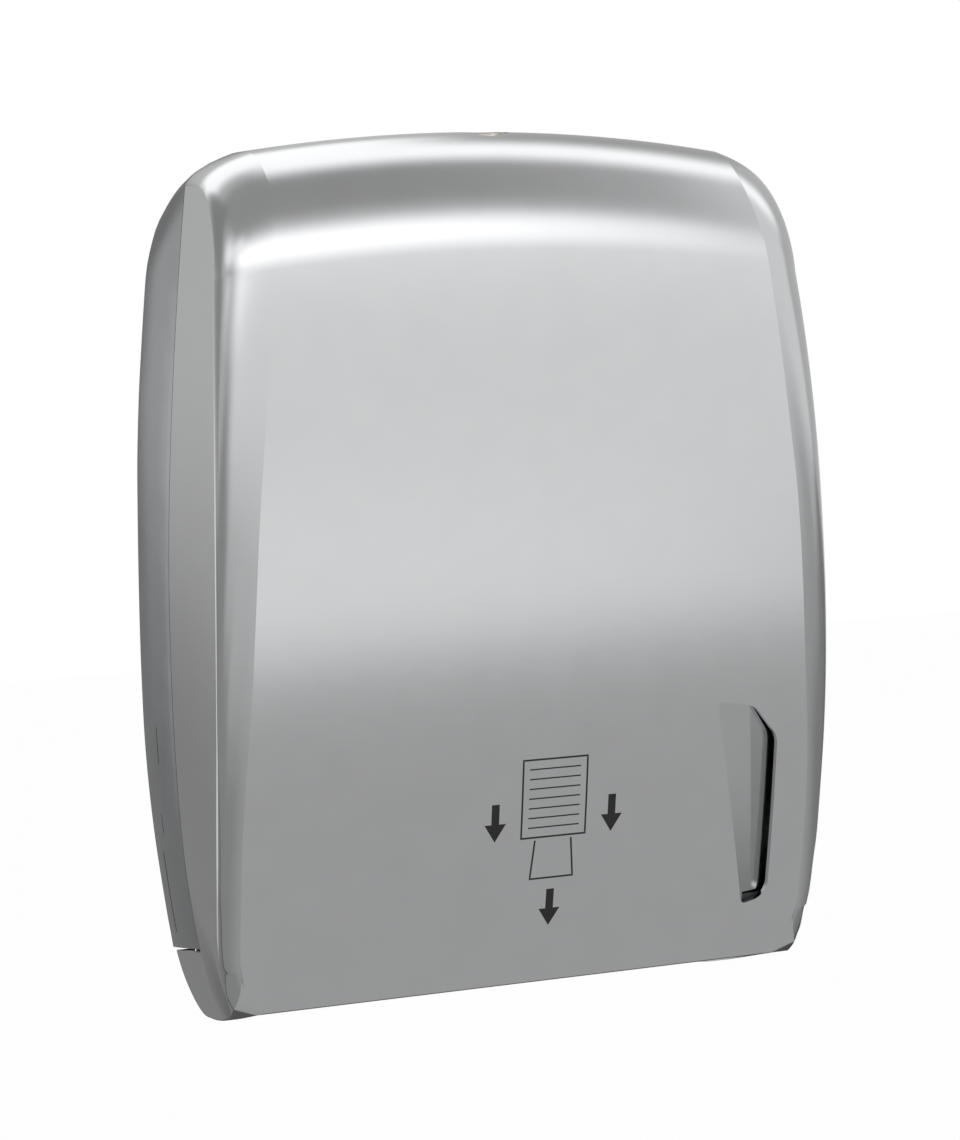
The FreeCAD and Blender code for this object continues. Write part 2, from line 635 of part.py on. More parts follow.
mount_holes = [
    cylinder(f"mount_hole_{number}", "y", (across, "-back_wall - " + PAST, upright),
             "mount_hole_radius", f"back_wall + 2 * {PAST}")
    for number, (across, upright) in enumerate(MOUNT_PLACES)
]
tray_pilots = [
    cylinder(f"tray_pilot_{number}", "y", (across, TRAY_REAR, SCREW_Z), "screw_radius", "screw_grip + pilot_spare")
    for number, across in enumerate(SCREW_PLACES)
]
keeper_pilots = [
    cylinder(f"keeper_pilot_{number}", "z",
             (KEEPER_MIDDLE, f"-(keeper_screw_rear + {number} * keeper_screw_pitch)", KEEPER_TOP),
             "screw_radius", "screw_grip + pilot_spare")
    for number in range(2)
]
ear_hole = cylinder("ear_hole", "x", (f"{EAR_INNER} - {PAST}",) + PIVOT[1:],
                    "hinge_pin_radius", f"hinge_ear + 2 * {PAST}")
base_underside = box("base_underside", ("-" + EAR_INNER, f"{BASE_FRONT} - {PAST}", LOWEST),
                     ("2 * " + EAR_INNER, f"base_depth - parting_gap / 2 + {PAST} - keel_lip",
                      f"keel_radius + 2 * {PAST}"))
hook_space = below_hook_line("hook_space", size("swing_clearance"), size("case_width") / 2 - size("recess_side"), FAR)
side_spaces = both_sides("side_spaces", fuse("side_space", recess_space, hook_space, flute_space, ear_hole))
keep(cut("back", base_solid, side_spaces, base_underside, *mount_holes, *tray_pilots, *keeper_pilots), "back_shell")


# Hinge pins: pressed into the ears, running in the cover's bosses

def hinge_pin(name):
    """A headed pin on the right-hand side."""
    shank = cylinder(name + "_shank", "x", (EAR_INNER,) + PIVOT[1:],
                     "hinge_pin_radius", "hinge_ear + hinge_pin_reach")
    head = cylinder(name + "_head", "x", (EAR_INNER + " - hinge_head_thickness",) + PIVOT[1:],
                    "hinge_head_radius", "hinge_head_thickness")
    return fuse(name, shank, head)


keep(hinge_pin("right_pin"), "right_hinge_pin")
keep(mirrored("left_pin", hinge_pin("left_pin_source")), "left_hinge_pin")


# Paper tray: a floor with a rim in front and at the sides, a rear flange, two outlets and two slots

def tray_plate(name, low, high, inner_half, outer_half, rear, front):
    """A T-shaped slab: narrow between the hinge ears, wide inside the cover."""
    narrow = box(name + "_narrow", (f"-{inner_half}", f"{COVER_REAR} - tray_ear_gap - {PAST}", low),
                 (f"2 * {inner_half}", f"{rear} - ({COVER_REAR} - tray_ear_gap - {PAST})", f"{high} - ({low})"))
    wide = box(name + "_wide", (f"-{outer_half}", front, low),
               (f"2 * {outer_half}", f"({COVER_REAR} - tray_ear_gap) - ({front})", f"{high} - ({low})"))
    return narrow, wide


FLOOR_LOW = "tray_height - tray_wall"
floor_narrow, floor_wide = tray_plate("floor", FLOOR_LOW, "tray_height + tray_rim", TRAY_INNER_HALF, TRAY_HALF,
                                      TRAY_REAR, TRAY_FRONT)
floor_block = doc.addObject("Part::Fillet", "floor_block")
floor_block.Base = floor_wide
doc.recompute()
floor_block.Edges = [
    (number, size("tray_corner_radius"), size("tray_corner_radius"))
    for number, edge in enumerate(floor_wide.Shape.Edges, start=1)
    if edge.BoundBox.ZLength > edge.BoundBox.YLength + edge.BoundBox.XLength
    and edge.BoundBox.YMin < -size("case_depth") / 2
]
rim_space = box("rim_space", (f"-({TRAY_HALF} - tray_wall)", f"{TRAY_FRONT} + tray_wall", "tray_height"),
                (f"2 * ({TRAY_HALF} - tray_wall)", "case_depth", "tray_rim + " + PAST))
tray_blank = cut("tray_blank", fuse("tray_slab", floor_narrow, floor_block), rim_space)
tray_flange = box("tray_flange", (f"-{TRAY_INNER_HALF}", f"{TRAY_REAR} - tray_wall", FLOOR_LOW),
                  (f"2 * {TRAY_INNER_HALF}", "tray_wall", "tray_wall + tray_flange_height"))


def stadium(name, low, high, length, width):
    """A slot shape with round ends about the middle of the right-hand outlet."""
    straight = f"({length} - {width})"
    middle = box(name + "_middle", (f"outlet_spacing / 2 - {straight} / 2", f"-outlet_depth - {width} / 2", low),
                 (straight, width, f"{high} - ({low})"))
    ends = [
        cylinder(f"{name}_end_{number}", "z", (f"outlet_spacing / 2 + {side} * {straight} / 2", "-outlet_depth", low),
                 f"{width} / 2", f"{high} - ({low})")
        for number, side in enumerate((-1, 1))
    ]
    return fuse(name, middle, *ends)


outlet_seat = stadium("outlet_seat", f"{FLOOR_LOW} - {PAST}", "tray_height + " + PAST,
                      "(outlet_length + 2 * outlet_wall + 2 * outlet_seat_clearance)",
                      "(outlet_width + 2 * outlet_wall + 2 * outlet_seat_clearance)")
tray_holes = [
    cylinder(f"tray_hole_{number}", "y", (across, f"{TRAY_REAR} - tray_wall - {PAST}", SCREW_Z),
             "screw_radius + screw_hole_clearance", f"tray_wall + 2 * {PAST}")
    for number, across in enumerate(SCREW_PLACES)
]
tab_slots = [
    box(f"tab_slot_{number}", ("-(divider_thickness / 2 + divider_clearance)",
                               f"-({start} + divider_tab_length + divider_clearance)", f"{FLOOR_LOW} - {PAST}"),
        ("divider_thickness + 2 * divider_clearance", "divider_tab_length + 2 * divider_clearance",
         f"tray_wall + 2 * {PAST}"))
    for number, start in enumerate(("divider_tab_rear", "divider_tab_front"))
]
keep(cut("tray", fuse("tray_full", tray_blank, tray_flange), both_sides("outlet_seats", outlet_seat),
         *tray_holes, *tab_slots), "paper_tray")


def outlet_ring(name):
    """A flanged ring that lines the right-hand outlet."""
    body = stadium(name + "_body", FLOOR_LOW + " - outlet_skirt", "tray_height + outlet_flange_thickness / 2",
                   "(outlet_length + 2 * outlet_wall)", "(outlet_width + 2 * outlet_wall)")
    flange = stadium(name + "_flange", "tray_height", "tray_height + outlet_flange_thickness",
                     "(outlet_length + 2 * outlet_wall + 2 * outlet_flange)",
                     "(outlet_width + 2 * outlet_wall + 2 * outlet_flange)")
    mouth = stadium(name + "_mouth", f"{FLOOR_LOW} - outlet_skirt - {PAST}", "tray_height + " + PAST,
                    "outlet_length", "outlet_width")
    return cut(name, fuse(name + "_solid", body, flange), mouth)


keep(outlet_ring("right_ring"), "right_outlet_ring")
keep(mirrored("left_ring", outlet_ring("left_ring_source")), "left_outlet_ring")


# Screws: identical ones share a node

def tapping_screw(name, axis, foot, sign, grip):
    """A pan-head screw. foot is on the fastened face, and sign is where its tip points along the axis."""
    offset = {"x": 0, "y": 1, "z": 2}[axis]
    shank_foot = list(foot)
    head_foot = list(foot)
    if sign < 0:
        shank_foot[offset] = f"({foot[offset]}) - ({grip})"
    else:
        head_foot[offset] = f"({foot[offset]}) - screw_head_thickness"
    shank = cylinder(name + "_shank", axis, shank_foot, "screw_radius", grip)
    head = cylinder(name + "_head", axis, head_foot, "screw_head_radius", "screw_head_thickness")
    return fuse(name, shank, head)


def group(name, pieces):
    """Separate solids in one node."""
    compound = doc.addObject("Part::Compound", name)
    compound.Links = pieces
    return compound


keep(group("tray_screw_set", [
    tapping_screw(f"tray_screw_{number}", "y", (across, f"{TRAY_REAR} - tray_wall", SCREW_Z), 1,
                  "tray_wall + screw_grip")
    for number, across in enumerate(SCREW_PLACES)
]), "tray_screws")
keep(group("keeper_screw_set", [
    tapping_screw(f"keeper_screw_{number}", "z",
                  (KEEPER_MIDDLE, f"-(keeper_screw_rear + {number} * keeper_screw_pitch)",
                   KEEPER_TOP + " - keeper_thickness"), 1, "keeper_thickness + screw_grip")
    for number in range(2)
]), "keeper_screws")


# Pieces drawn as sketches: the partition, the keeper, the cam and the nut

def plane_of(body, role):
    """One of the body's own origin planes."""
    return [item for item in body.Origin.OriginFeatures if item.Role == role][0]


def sketch_on(body, name, role, offset="0"):
    """An empty sketch on an origin plane, moved along its normal by a formula."""
    sketch = body.newObject("Sketcher::SketchObject", name)
    sketch.AttachmentSupport = [(plane_of(body, role), "")]
    sketch.MapMode = "FlatFace"
    bind(sketch, "AttachmentOffset.Base.z", offset)
    return sketch


def sketch_polygon(sketch, corners):
    """A closed outline, each corner tied to two formulas."""
    first = sketch.GeometryCount
    count = len(corners)
    for number in range(count):
        here = Vector(number, number * number, 0)
        there = Vector(number + 1, (number + 1) ** 2, 0)
        sketch.addGeometry(Part.LineSegment(here, there), False)
    for number in range(count):
        after = (number + 1) % count
        sketch.addConstraint(Sketcher.Constraint("Coincident", first + number, 2, first + after, 1))
    for number, corner in enumerate(corners):
        for kind, formula in zip(("DistanceX", "DistanceY"), corner):
            index = sketch.addConstraint(Sketcher.Constraint(kind, -1, 1, first + number, 1, 1.0))
            bind(sketch, f"Constraints[{index}]", formula)


def sketch_circle(sketch, centre, radius):
    """A circle tied to three formulas."""
    index = sketch.addGeometry(Part.Circle(Vector(1, 1, 0), Vector(0, 0, 1), 1.0), False)
    for kind, formula in zip(("DistanceX", "DistanceY"), centre):
        tie = sketch.addConstraint(Sketcher.Constraint(kind, -1, 1, index, 3, 1.0))
        bind(sketch, f"Constraints[{tie}]", formula)
    tie = sketch.addConstraint(Sketcher.Constraint("Radius", index, 1.0))
    bind(sketch, f"Constraints[{tie}]", radius)


def pad(body, sketch, length):
    """A pad along the sketch's normal."""
    feature = body.newObject("PartDesign::Pad", sketch.Name + "_pad")
    feature.Profile = sketch
    bind(feature, "Length", length)
    return feature


def through_pocket(body, sketch, length):
    """A pocket that goes the same way as the pads."""
    feature = body.newObject("PartDesign::Pocket", sketch.Name + "_pocket")
    feature.Profile = sketch
    feature.Reversed = True
    bind(feature, "Length", length)
    return feature


divider_body = doc.addObject("PartDesign::Body", "divider_body")
divider_sketch = sketch_on(divider_body, "divider_outline", "YZ_Plane", "-divider_thickness / 2")
DIVIDER_FOOT = "tray_height + divider_foot_gap"
DIVIDER_STEP_Y = f"{TRAY_REAR} - tray_wall - screw_head_thickness - divider_wall_gap"
DIVIDER_STEP_Z = "tray_height + tray_flange_height + divider_step_spare"
TAB_Z = "tray_height - divider_tab_drop"
sketch_polygon(divider_sketch, [
    ("-(back_wall + divider_wall_gap)", DIVIDER_TOP),
    ("-divider_reach", DIVIDER_TOP),
    ("-divider_reach", DIVIDER_FOOT),
    ("-(divider_tab_front + divider_tab_length)", DIVIDER_FOOT),
    ("-(divider_tab_front + divider_tab_length)", TAB_Z),
    ("-divider_tab_front", TAB_Z),
    ("-divider_tab_front", DIVIDER_FOOT),
    ("-(divider_tab_rear + divider_tab_length)", DIVIDER_FOOT),
    ("-(divider_tab_rear + divider_tab_length)", TAB_Z),
    ("-divider_tab_rear", TAB_Z),
    ("-divider_tab_rear", DIVIDER_FOOT),
    (DIVIDER_STEP_Y, DIVIDER_FOOT),
    (DIVIDER_STEP_Y, DIVIDER_STEP_Z),
    ("-(back_wall + divider_wall_gap)", DIVIDER_STEP_Z),
])
divider_pad = pad(divider_body, divider_sketch, "divider_thickness")
doc.recompute()
divider_bounds = divider_pad.Shape.BoundBox
corner_edges = [
    f"Edge{number}" for number, edge in enumerate(divider_pad.Shape.Edges, start=1)
    if edge.BoundBox.XLength > size("divider_thickness") / 2
    and edge.BoundBox.ZMin > divider_bounds.ZMax - OVERRUN and edge.BoundBox.YMax < divider_bounds.YMin + OVERRUN
]
divider_round = divider_body.newObject("PartDesign::Fillet", "divider_round")
divider_round.Base = (divider_pad, corner_edges)
bind(divider_round, "Radius", "divider_corner_radius")
keep(divider_body, "stack_divider")

keeper_body = doc.addObject("PartDesign::Body", "keeper_body")
keeper_sketch = sketch_on(keeper_body, "keeper_profile", "YZ_Plane", "keeper_side")
KEEPER_UNDER = KEEPER_TOP + " - keeper_thickness"
sketch_polygon(keeper_sketch, [
    ("-keeper_rear", KEEPER_TOP),
    ("-" + KEEPER_FRONT, KEEPER_TOP),
    ("-" + KEEPER_FRONT, KEEPER_TOP + " - keeper_lip_height"),
    (f"-({KEEPER_FRONT} - keeper_thickness)", KEEPER_TOP + " - keeper_lip_height"),
    (f"-({KEEPER_FRONT} - keeper_thickness)", KEEPER_UNDER),
    ("-keeper_rear", KEEPER_UNDER),
])
keeper_pad = pad(keeper_body, keeper_sketch, "keeper_width")
doc.recompute()
keeper_holes = sketch_on(keeper_body, "keeper_holes", "XY_Plane", f"{KEEPER_UNDER} - {PAST}")
for number in range(2):
    sketch_circle(keeper_holes, (KEEPER_MIDDLE, f"-(keeper_screw_rear + {number} * keeper_screw_pitch)"),
                  "screw_radius + screw_hole_clearance")
through_pocket(keeper_body, keeper_holes, f"keeper_thickness + 2 * {PAST}")
keep(keeper_body, "latch_keeper")


# Lock: housing in the crown, nut below, turning plug, cam, washer and screw

def lock_rod(name, low, high, radius):
    """A cylinder on the lock's axis."""
    return cylinder(name, "z", ("0", "-lock_depth", low), radius, f"{high} - ({low})")


housing = fuse("housing_solid",
               lock_rod("housing_flange", LOCK_SHOULDER, LOCK_FACE, "lock_flange_radius"),
               lock_rod("housing_body", LOCK_BOTTOM, LOCK_FACE, "lock_body_radius"))
HEAD_SEAT = f"{LOCK_FACE} - barrel_head_thickness - barrel_head_clearance"
keep(cut("housing", housing,
         lock_rod("housing_bore", f"{LOCK_BOTTOM} - {PAST}", f"{LOCK_FACE} + {PAST}",
                  "barrel_radius + barrel_clearance"),
         lock_rod("housing_seat", HEAD_SEAT, f"{LOCK_FACE} + {PAST}",
                  "barrel_head_radius + barrel_head_clearance")),
     "lock_housing")

nut_body = doc.addObject("PartDesign::Body", "nut_body")
NUT_TOP = "(case_height - lock_pad_bottom)"
nut_sketch = sketch_on(nut_body, "nut_outline", "XY_Plane", NUT_TOP + " - lock_nut_thickness")
NUT_FLATS = 6
NUT_CORNER = f"lock_nut_width / 2 / {math.cos(math.pi / NUT_FLATS):.9f}"
sketch_polygon(nut_sketch, [
    (f"{math.cos(turn):.9f} * {NUT_CORNER}", f"{math.sin(turn):.9f} * {NUT_CORNER} - lock_depth")
    for turn in [2 * math.pi * corner / NUT_FLATS for corner in range(NUT_FLATS)]
])
sketch_circle(nut_sketch, ("0", "-lock_depth"), "lock_body_radius")
pad(nut_body, nut_sketch, "lock_nut_thickness")
keep(nut_body, "lock_nut")

barrel = fuse("barrel_solid",
              lock_rod("barrel_head", f"{LOCK_FACE} - barrel_head_thickness", LOCK_FACE, "barrel_head_radius"),
              lock_rod("barrel_rod", LOCK_BOTTOM, LOCK_FACE, "barrel_radius"),
              box("barrel_square", ("-barrel_tail / 2", "-lock_depth - barrel_tail / 2",
                                    LOCK_BOTTOM + " - barrel_tail_length"),
                  ("barrel_tail", "barrel_tail", "barrel_tail_length + " + PAST)))
CAM_TOP = f"{LOCK_BOTTOM} - cam_gap"
WASHER_TOP = f"{LOCK_BOTTOM} - barrel_tail_length"
key_slot = box("key_slot", ("-key_slot_width / 2", "-lock_depth - key_slot_length / 2",
                            LOCK_FACE + " - key_slot_depth"),
               ("key_slot_width", "key_slot_length", "key_slot_depth + " + PAST))
keep(cut("barrel", barrel, key_slot,
         lock_rod("barrel_thread", f"{WASHER_TOP} - {PAST}", f"{WASHER_TOP} + cam_screw_length", "cam_screw_radius")),
     "lock_barrel")

cam_body = doc.addObject("PartDesign::Body", "cam_body")
cam_sketch = sketch_on(cam_body, "cam_outline", "XY_Plane", CAM_TOP + " - cam_thickness")
sketch_polygon(cam_sketch, [
    ("-cam_width / 2", "-lock_depth - cam_width / 2"),
    ("cam_width / 2", "-lock_depth - cam_width / 2"),
    ("cam_width / 2", "-lock_depth + cam_reach"),
    ("-cam_width / 2", "-lock_depth + cam_reach"),
])
sketch_polygon(cam_sketch, [
    (f"{across} * (barrel_tail / 2 + cam_fit)", f"{along} * (barrel_tail / 2 + cam_fit) - lock_depth")
    for across, along in ((-1, -1), (1, -1), (1, 1), (-1, 1))
])
pad(cam_body, cam_sketch, "cam_thickness")
keep(cam_body, "lock_cam")

keep(cut("washer", lock_rod("washer_disc", f"{WASHER_TOP} - washer_thickness", WASHER_TOP, "washer_radius"),
         lock_rod("washer_hole", f"{WASHER_TOP} - {PAST}", f"{WASHER_TOP} + {PAST}", "cam_screw_radius")),
     "cam_washer")
SCREW_SEAT = f"{WASHER_TOP} - washer_thickness"
keep(fuse("cam_screw_solid",
          lock_rod("cam_screw_shank", SCREW_SEAT, f"{WASHER_TOP} + cam_screw_length - cam_screw_spare",
                   "cam_screw_radius"),
          lock_rod("cam_screw_head", f"{SCREW_SEAT} - cam_screw_head_thickness", SCREW_SEAT,
                   "cam_screw_head_radius")), "cam_screw")


# Check every object, then write each sub-part

doc.recompute()
faults = [item.Name for item in doc.Objects if "Invalid" in item.State or "Error" in item.State]
if faults:
    raise RuntimeError("objects with a fault: " + ", ".join(faults))
for name, piece in nodes.items():
    if piece.Shape.isNull() or not piece.Shape.isValid() or not piece.Shape.Solids:
        raise RuntimeError("no sound shape: " + name)
for name, piece in nodes.items():
    bounds = piece.Shape.BoundBox
    print(f"{name}: {len(piece.Shape.Solids)} solids, {piece.Shape.Volume / 1000:.2f} cm3,"
          f" x {bounds.XMin:.1f} {bounds.XMax:.1f}, y {bounds.YMin:.1f} {bounds.YMax:.1f},"
          f" z {bounds.ZMin:.1f} {bounds.ZMax:.1f}")
    piece.Shape.exportStep(f"parts/{name}.step")
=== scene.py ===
import math

import bpy
from bpy.props import FloatProperty, PointerProperty
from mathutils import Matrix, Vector


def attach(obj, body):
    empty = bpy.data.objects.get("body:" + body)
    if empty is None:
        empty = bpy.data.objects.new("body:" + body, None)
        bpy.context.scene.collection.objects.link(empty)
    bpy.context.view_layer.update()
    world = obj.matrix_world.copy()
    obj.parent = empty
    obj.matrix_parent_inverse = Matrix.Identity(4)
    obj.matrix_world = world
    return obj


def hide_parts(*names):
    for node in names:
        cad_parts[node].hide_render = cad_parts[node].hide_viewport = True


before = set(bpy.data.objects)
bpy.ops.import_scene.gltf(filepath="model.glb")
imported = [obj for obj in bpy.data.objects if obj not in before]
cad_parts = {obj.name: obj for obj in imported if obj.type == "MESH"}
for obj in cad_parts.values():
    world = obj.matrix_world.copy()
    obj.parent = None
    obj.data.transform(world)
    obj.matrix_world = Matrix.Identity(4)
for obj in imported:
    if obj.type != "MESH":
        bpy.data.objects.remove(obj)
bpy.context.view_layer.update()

bl_info = {
    "name": "Interfold paper dispenser",
    "version": (1, 0, 0),
    "blender": (4, 5, 0),
    "location": "View3D > Sidebar > Dispenser",
    "description": "Dresses the packed dispenser: chrome case, sight window, lock, tray and stage",
    "category": "Object",
}

MM = 0.001
# The wall holes' centre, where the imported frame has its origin, above the case's lowest point
MOUNT_HEIGHT = 215.0


# Colours, nodes and finishes

def linear(hex_colour):
    """An sRGB hex colour as linear RGBA."""
    parts = [int(hex_colour[start:start + 2], 16) / 255 for start in (1, 3, 5)]
    return [part / 12.92 if part <= 0.04045 else ((part + 0.055) / 1.055) ** 2.4 for part in parts] + [1.0]


def add_node(tree, kind, settings=None, links=None):
    """Adds a node. Settings name its properties or inputs, and links name an input and the socket that feeds it."""
    node = tree.nodes.new(kind)
    for key, value in (settings or {}).items():
        if isinstance(key, int) or (key in node.inputs and not hasattr(node, key)):
            node.inputs[key].default_value = value
        else:
            setattr(node, key, value)
    for key, socket in (links or {}).items():
        tree.links.new(socket, node.inputs[key])
    return node


def empty_tree(owner):
    """The emptied node tree of a material or a world."""
    owner.use_nodes = True
    owner.node_tree.nodes.clear()
    return owner.node_tree


def noise(tree, size_mm, detail=2.0, roughness=0.5):
    """A noise value on Object coordinates whose features are about size_mm wide."""
    place = add_node(tree, "ShaderNodeTexCoord")
    node = add_node(tree, "ShaderNodeTexNoise",
                    {"Scale": 1 / (size_mm * MM), "Detail": detail, "Roughness": roughness},
                    {"Vector": place.outputs["Object"]})
    return node.outputs["Fac"]


def finish_material(name, low, high, metallic, rough_low, rough_high, grain_mm, bump_mm, ior=None, wear_mm=18.0):
    """A surface whose colour and roughness wander slightly over wear_mm, with a grain of grain_mm in its bump."""
    found = bpy.data.materials.get(name)
    if found:
        return found
    material = bpy.data.materials.new(name)
    tree = empty_tree(material)
    wander = noise(tree, wear_mm, 3.0, 0.6)
    grain = noise(tree, grain_mm, 2.0)
    colour = add_node(tree, "ShaderNodeValToRGB", {}, {"Fac": wander})
    for element, place, shade in zip(colour.color_ramp.elements, (0.35, 0.65), (low, high)):
        element.position = place
        element.color = linear(shade)
    roughness = add_node(tree, "ShaderNodeMapRange", {"From Min": 0.3, "From Max": 0.7, "To Min": rough_low,
                                                      "To Max": rough_high}, {"Value": wander})
    bump = add_node(tree, "ShaderNodeBump", {"Strength": 1.0, "Distance": bump_mm * MM}, {"Height": grain})
    settings = {"Metallic": metallic}
    if ior:
        settings["IOR"] = ior
    shader = add_node(tree, "ShaderNodeBsdfPrincipled", settings,
                      {"Base Color": colour.outputs["Color"], "Roughness": roughness.outputs["Result"],
                       "Normal": bump.outputs["Normal"]})
    add_node(tree, "ShaderNodeOutputMaterial", {}, {"Surface": shader.outputs["BSDF"]})
    return material


def satin_chrome():
    """Satin chrome plating on moulded ABS: a bright neutral metal that softens every reflection a little."""
    return finish_material("satin_chrome_plating", "#CBCCCD", "#CDCECF", 1.0, 0.165, 0.175, 0.5, 0.0003)


def chrome_with_painted_shade():
    """Satin chrome plating in a darker copy for the back case: the darker colour is painted shade that stands in for
    the darker reflections on its cheeks, and it is a little rougher.
    """
    return finish_material("satin_chrome_painted_shade", "#9EA0A2", "#A3A5A7", 1.0, 0.17, 0.19, 0.5, 0.0003)


def dark_abs():
    """Moulded ABS in dark grey with a fine spark-eroded texture: soft, wide highlights."""
    return finish_material("moulded_abs_dark", "#2E3033", "#36383B", 0.0, 0.42, 0.55, 0.35, 0.03, ior=1.54)


def grey_abs():
    """Moulded ABS in mid grey, smoother than the tray."""
    return finish_material("moulded_abs_grey", "#6E7174", "#787B7E", 0.0, 0.30, 0.40, 0.5, 0.01, ior=1.54)


def zinc_steel():
    """Bright zinc plating on steel: a slightly cool, finely mottled metal."""
    return finish_material("zinc_plated_steel", "#AEB2B6", "#BFC3C6", 1.0, 0.24, 0.38, 0.8, 0.004, wear_mm=4.0)


def polished_nickel():
    """Polished nickel on a zinc die-cast lock: warm white metal with tight reflections."""
    return finish_material("polished_nickel", "#C9C4BA", "#D6D2C8", 1.0, 0.10, 0.18, 0.4, 0.001, wear_mm=6.0)


def black_ink():
    """Pad-printed black ink: flat, slightly rough."""
    return finish_material("pad_printed_ink", "#0B0B0C", "#141416", 0.0, 0.45, 0.6, 0.3, 0.002, ior=1.5)


NODE_FINISH = {
    satin_chrome: ("cover_shell", "back_shell"),
    zinc_steel: ("left_hinge_pin", "right_hinge_pin", "tray_screws", "keeper_screws", "latch_keeper", "lock_nut",
                 "lock_cam", "cam_washer", "cam_screw"),
    dark_abs: ("paper_tray",),
    grey_abs: ("left_outlet_ring", "right_outlet_ring", "stack_divider"),
    polished_nickel: ("lock_housing", "lock_barrel"),
}


class CoverSizes(bpy.types.PropertyGroup):
    """Sizes of the cover, in metres"""
    ease: FloatProperty(name="Ease", description="Width of the line where the face meets the edge strip",
                        default=0.0003, subtype="DISTANCE", unit="LENGTH")
    wall: FloatProperty(name="Wall", description="Wall of the cover",
                        default=0.0025, subtype="DISTANCE", unit="LENGTH")


class DispenserStage(bpy.types.PropertyGroup):
    """The camera's place and the floor"""
    distance: FloatProperty(name="Camera distance", description="From the camera to the point it looks at",
                            default=1.25, subtype="DISTANCE", unit="LENGTH")
    azimuth: FloatProperty(name="Azimuth", description="Camera's turn round the object",
                           default=math.radians(-22.0), subtype="ANGLE", unit="ROTATION")
    elevation: FloatProperty(name="Elevation", description="Camera's height above the horizon",
                             default=math.radians(8.84), subtype="ANGLE", unit="ROTATION")
    floor_drop: FloatProperty(name="Floor", description="Floor below the wall holes' centre",
                              default=1.25, subtype="DISTANCE", unit="LENGTH")


class DISPENSER_OT_finishes(bpy.types.Operator):
    """Gives each CAD node its finish"""
    bl_idname = "dispenser.finishes"
    bl_label = "Finishes"

    def execute(self, context):
        for make, names in NODE_FINISH.items():
            for name in names:
                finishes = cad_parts[name].data.materials
                finishes.clear()
                finishes.append(make())
        return {"FINISHED"}


# The case's form, in millimetres with the wall at Y = 0 and the lowest point at Z = 0

CASE_HALF = 142.5
CASE_HEIGHT = 398.0
WIDEST_HEIGHT = 156.0
UPPER_SIDE_RADIUS = 2200.0
LOWER_SIDE_RADIUS = 580.0
ARCH_RADIUS = 720.0
BULGE_HEIGHT = 192.0
FRONT_RADIUS = 930.0
FRONT_CENTRE_Y = 801.0
CROWN_DEPTH = 64.0
CROWN_FALL = 12.0
CROWN_RADIUS = (CROWN_DEPTH ** 2 + CROWN_FALL ** 2) / (2 * CROWN_FALL)
KEEL_RADIUS = 23.6
PIVOT = (-24.0, 23.6)
PARTING_Y = -50.3
FRONT_EDGE_HEIGHT = 27.5
HOOK_FRONT = (-50.3, 37.9)
HOOK_REAR = (-0.4, 25.1)
SHOULDER_REAR_Y = -66.6
SHOULDER_LOW = 349.0
UNDERSIDE_SAG = 1.7
FACET_TOP = 49.0
FACET_REAR = -108.0
# The sides stand in from the case's width, flare towards the front, and draw in towards the front's lower corner
SIDE_INSET = 0.3
SIDE_FRONT_Y = -113.0
SIDE_FLARE = 8800.0
DRAW_IN_TOP = 62.0
DRAW_IN_RUN = 34.0
DRAW_IN = 6.4
# The strip leaves the face and meets the side at these angles
STRIP_LEAVES = math.radians(9.0)
STRIP_MEETS = math.radians(60.0)

# Heights of the rows beside the facet, and how far behind the front's lower edge the underside's rows lie
CORNER_HEIGHTS = [61.0, 57.0, 54.0, 51.5, 50.0, 49.0, 47.5, 46.0, 44.5, 43.0, 41.5, 40.0, 38.0, 36.0, 34.0, 32.0, 30.5,
                  29.2, 28.2]
UNDERSIDE_GAPS = [0.7, 1.4, 2.2, 3.0, 3.8, 4.6, 5.4, 6.2, 6.85, 7.5, 9.0, 11.0, 13.5, 16.0, 18.5, 21.0, 24.0, 28.0,
                  32.0, 36.0, 40.0, 45.0, 50.0, 56.0, 62.0, 68.0, 74.0, 80.0]

# Steps across one half of the cover: the facet, the edge strip, the crease, the side and the face
FACET_STEPS = 4
STRIP_STEPS = 14
CREASE_STEPS = 5
SIDE_STEPS = 12
FACE_STEPS = 36
FACET_COLUMN = SIDE_STEPS + CREASE_STEPS + STRIP_STEPS
FACE_COLUMN = FACET_COLUMN + FACET_STEPS

# Half width of the face down the crown, the shoulder and the front: (place, half width)
FACE_ON_CROWN = ((-66.6, 109.0), (-50.3, 109.0))
FACE_ON_SHOULDER = ((349.0, 114.0), (360.0, 112.6), (375.0, 110.2), (386.0, 109.0), (399.0, 109.0))
FACE_ON_FRONT = ((28.0, 121.4), (30.5, 124.2), (35.0, 127.2), (38.5, 128.9), (42.0, 130.1), (49.0, 131.7),
                 (60.0, 132.4), (77.0, 132.6), (103.0, 132.5), (129.0, 131.5), (150.0, 129.9), (171.0, 128.4),
                 (200.0, 126.8), (229.0, 125.1), (250.0, 123.5), (270.0, 121.5), (290.0, 119.6), (318.0, 117.1),
                 (349.0, 114.0))
# Depth of the strip's end on the side behind the face: (place, depth)
DEPTH_ON_CROWN = ((-66.6, 10.4), (-50.3, 10.2))
DEPTH_ON_SHOULDER = ((349.0, 13.9), (370.0, 12.4), (384.0, 11.5), (399.0, 10.4))
DEPTH_ON_FRONT = ((44.0, 3.0), (60.0, 3.1), (80.0, 3.2), (100.0, 3.6), (120.0, 4.1), (140.0, 4.6), (160.0, 5.2),
                  (200.0, 6.8), (240.0, 8.6), (280.0, 10.2), (320.0, 12.1), (349.0, 13.9))
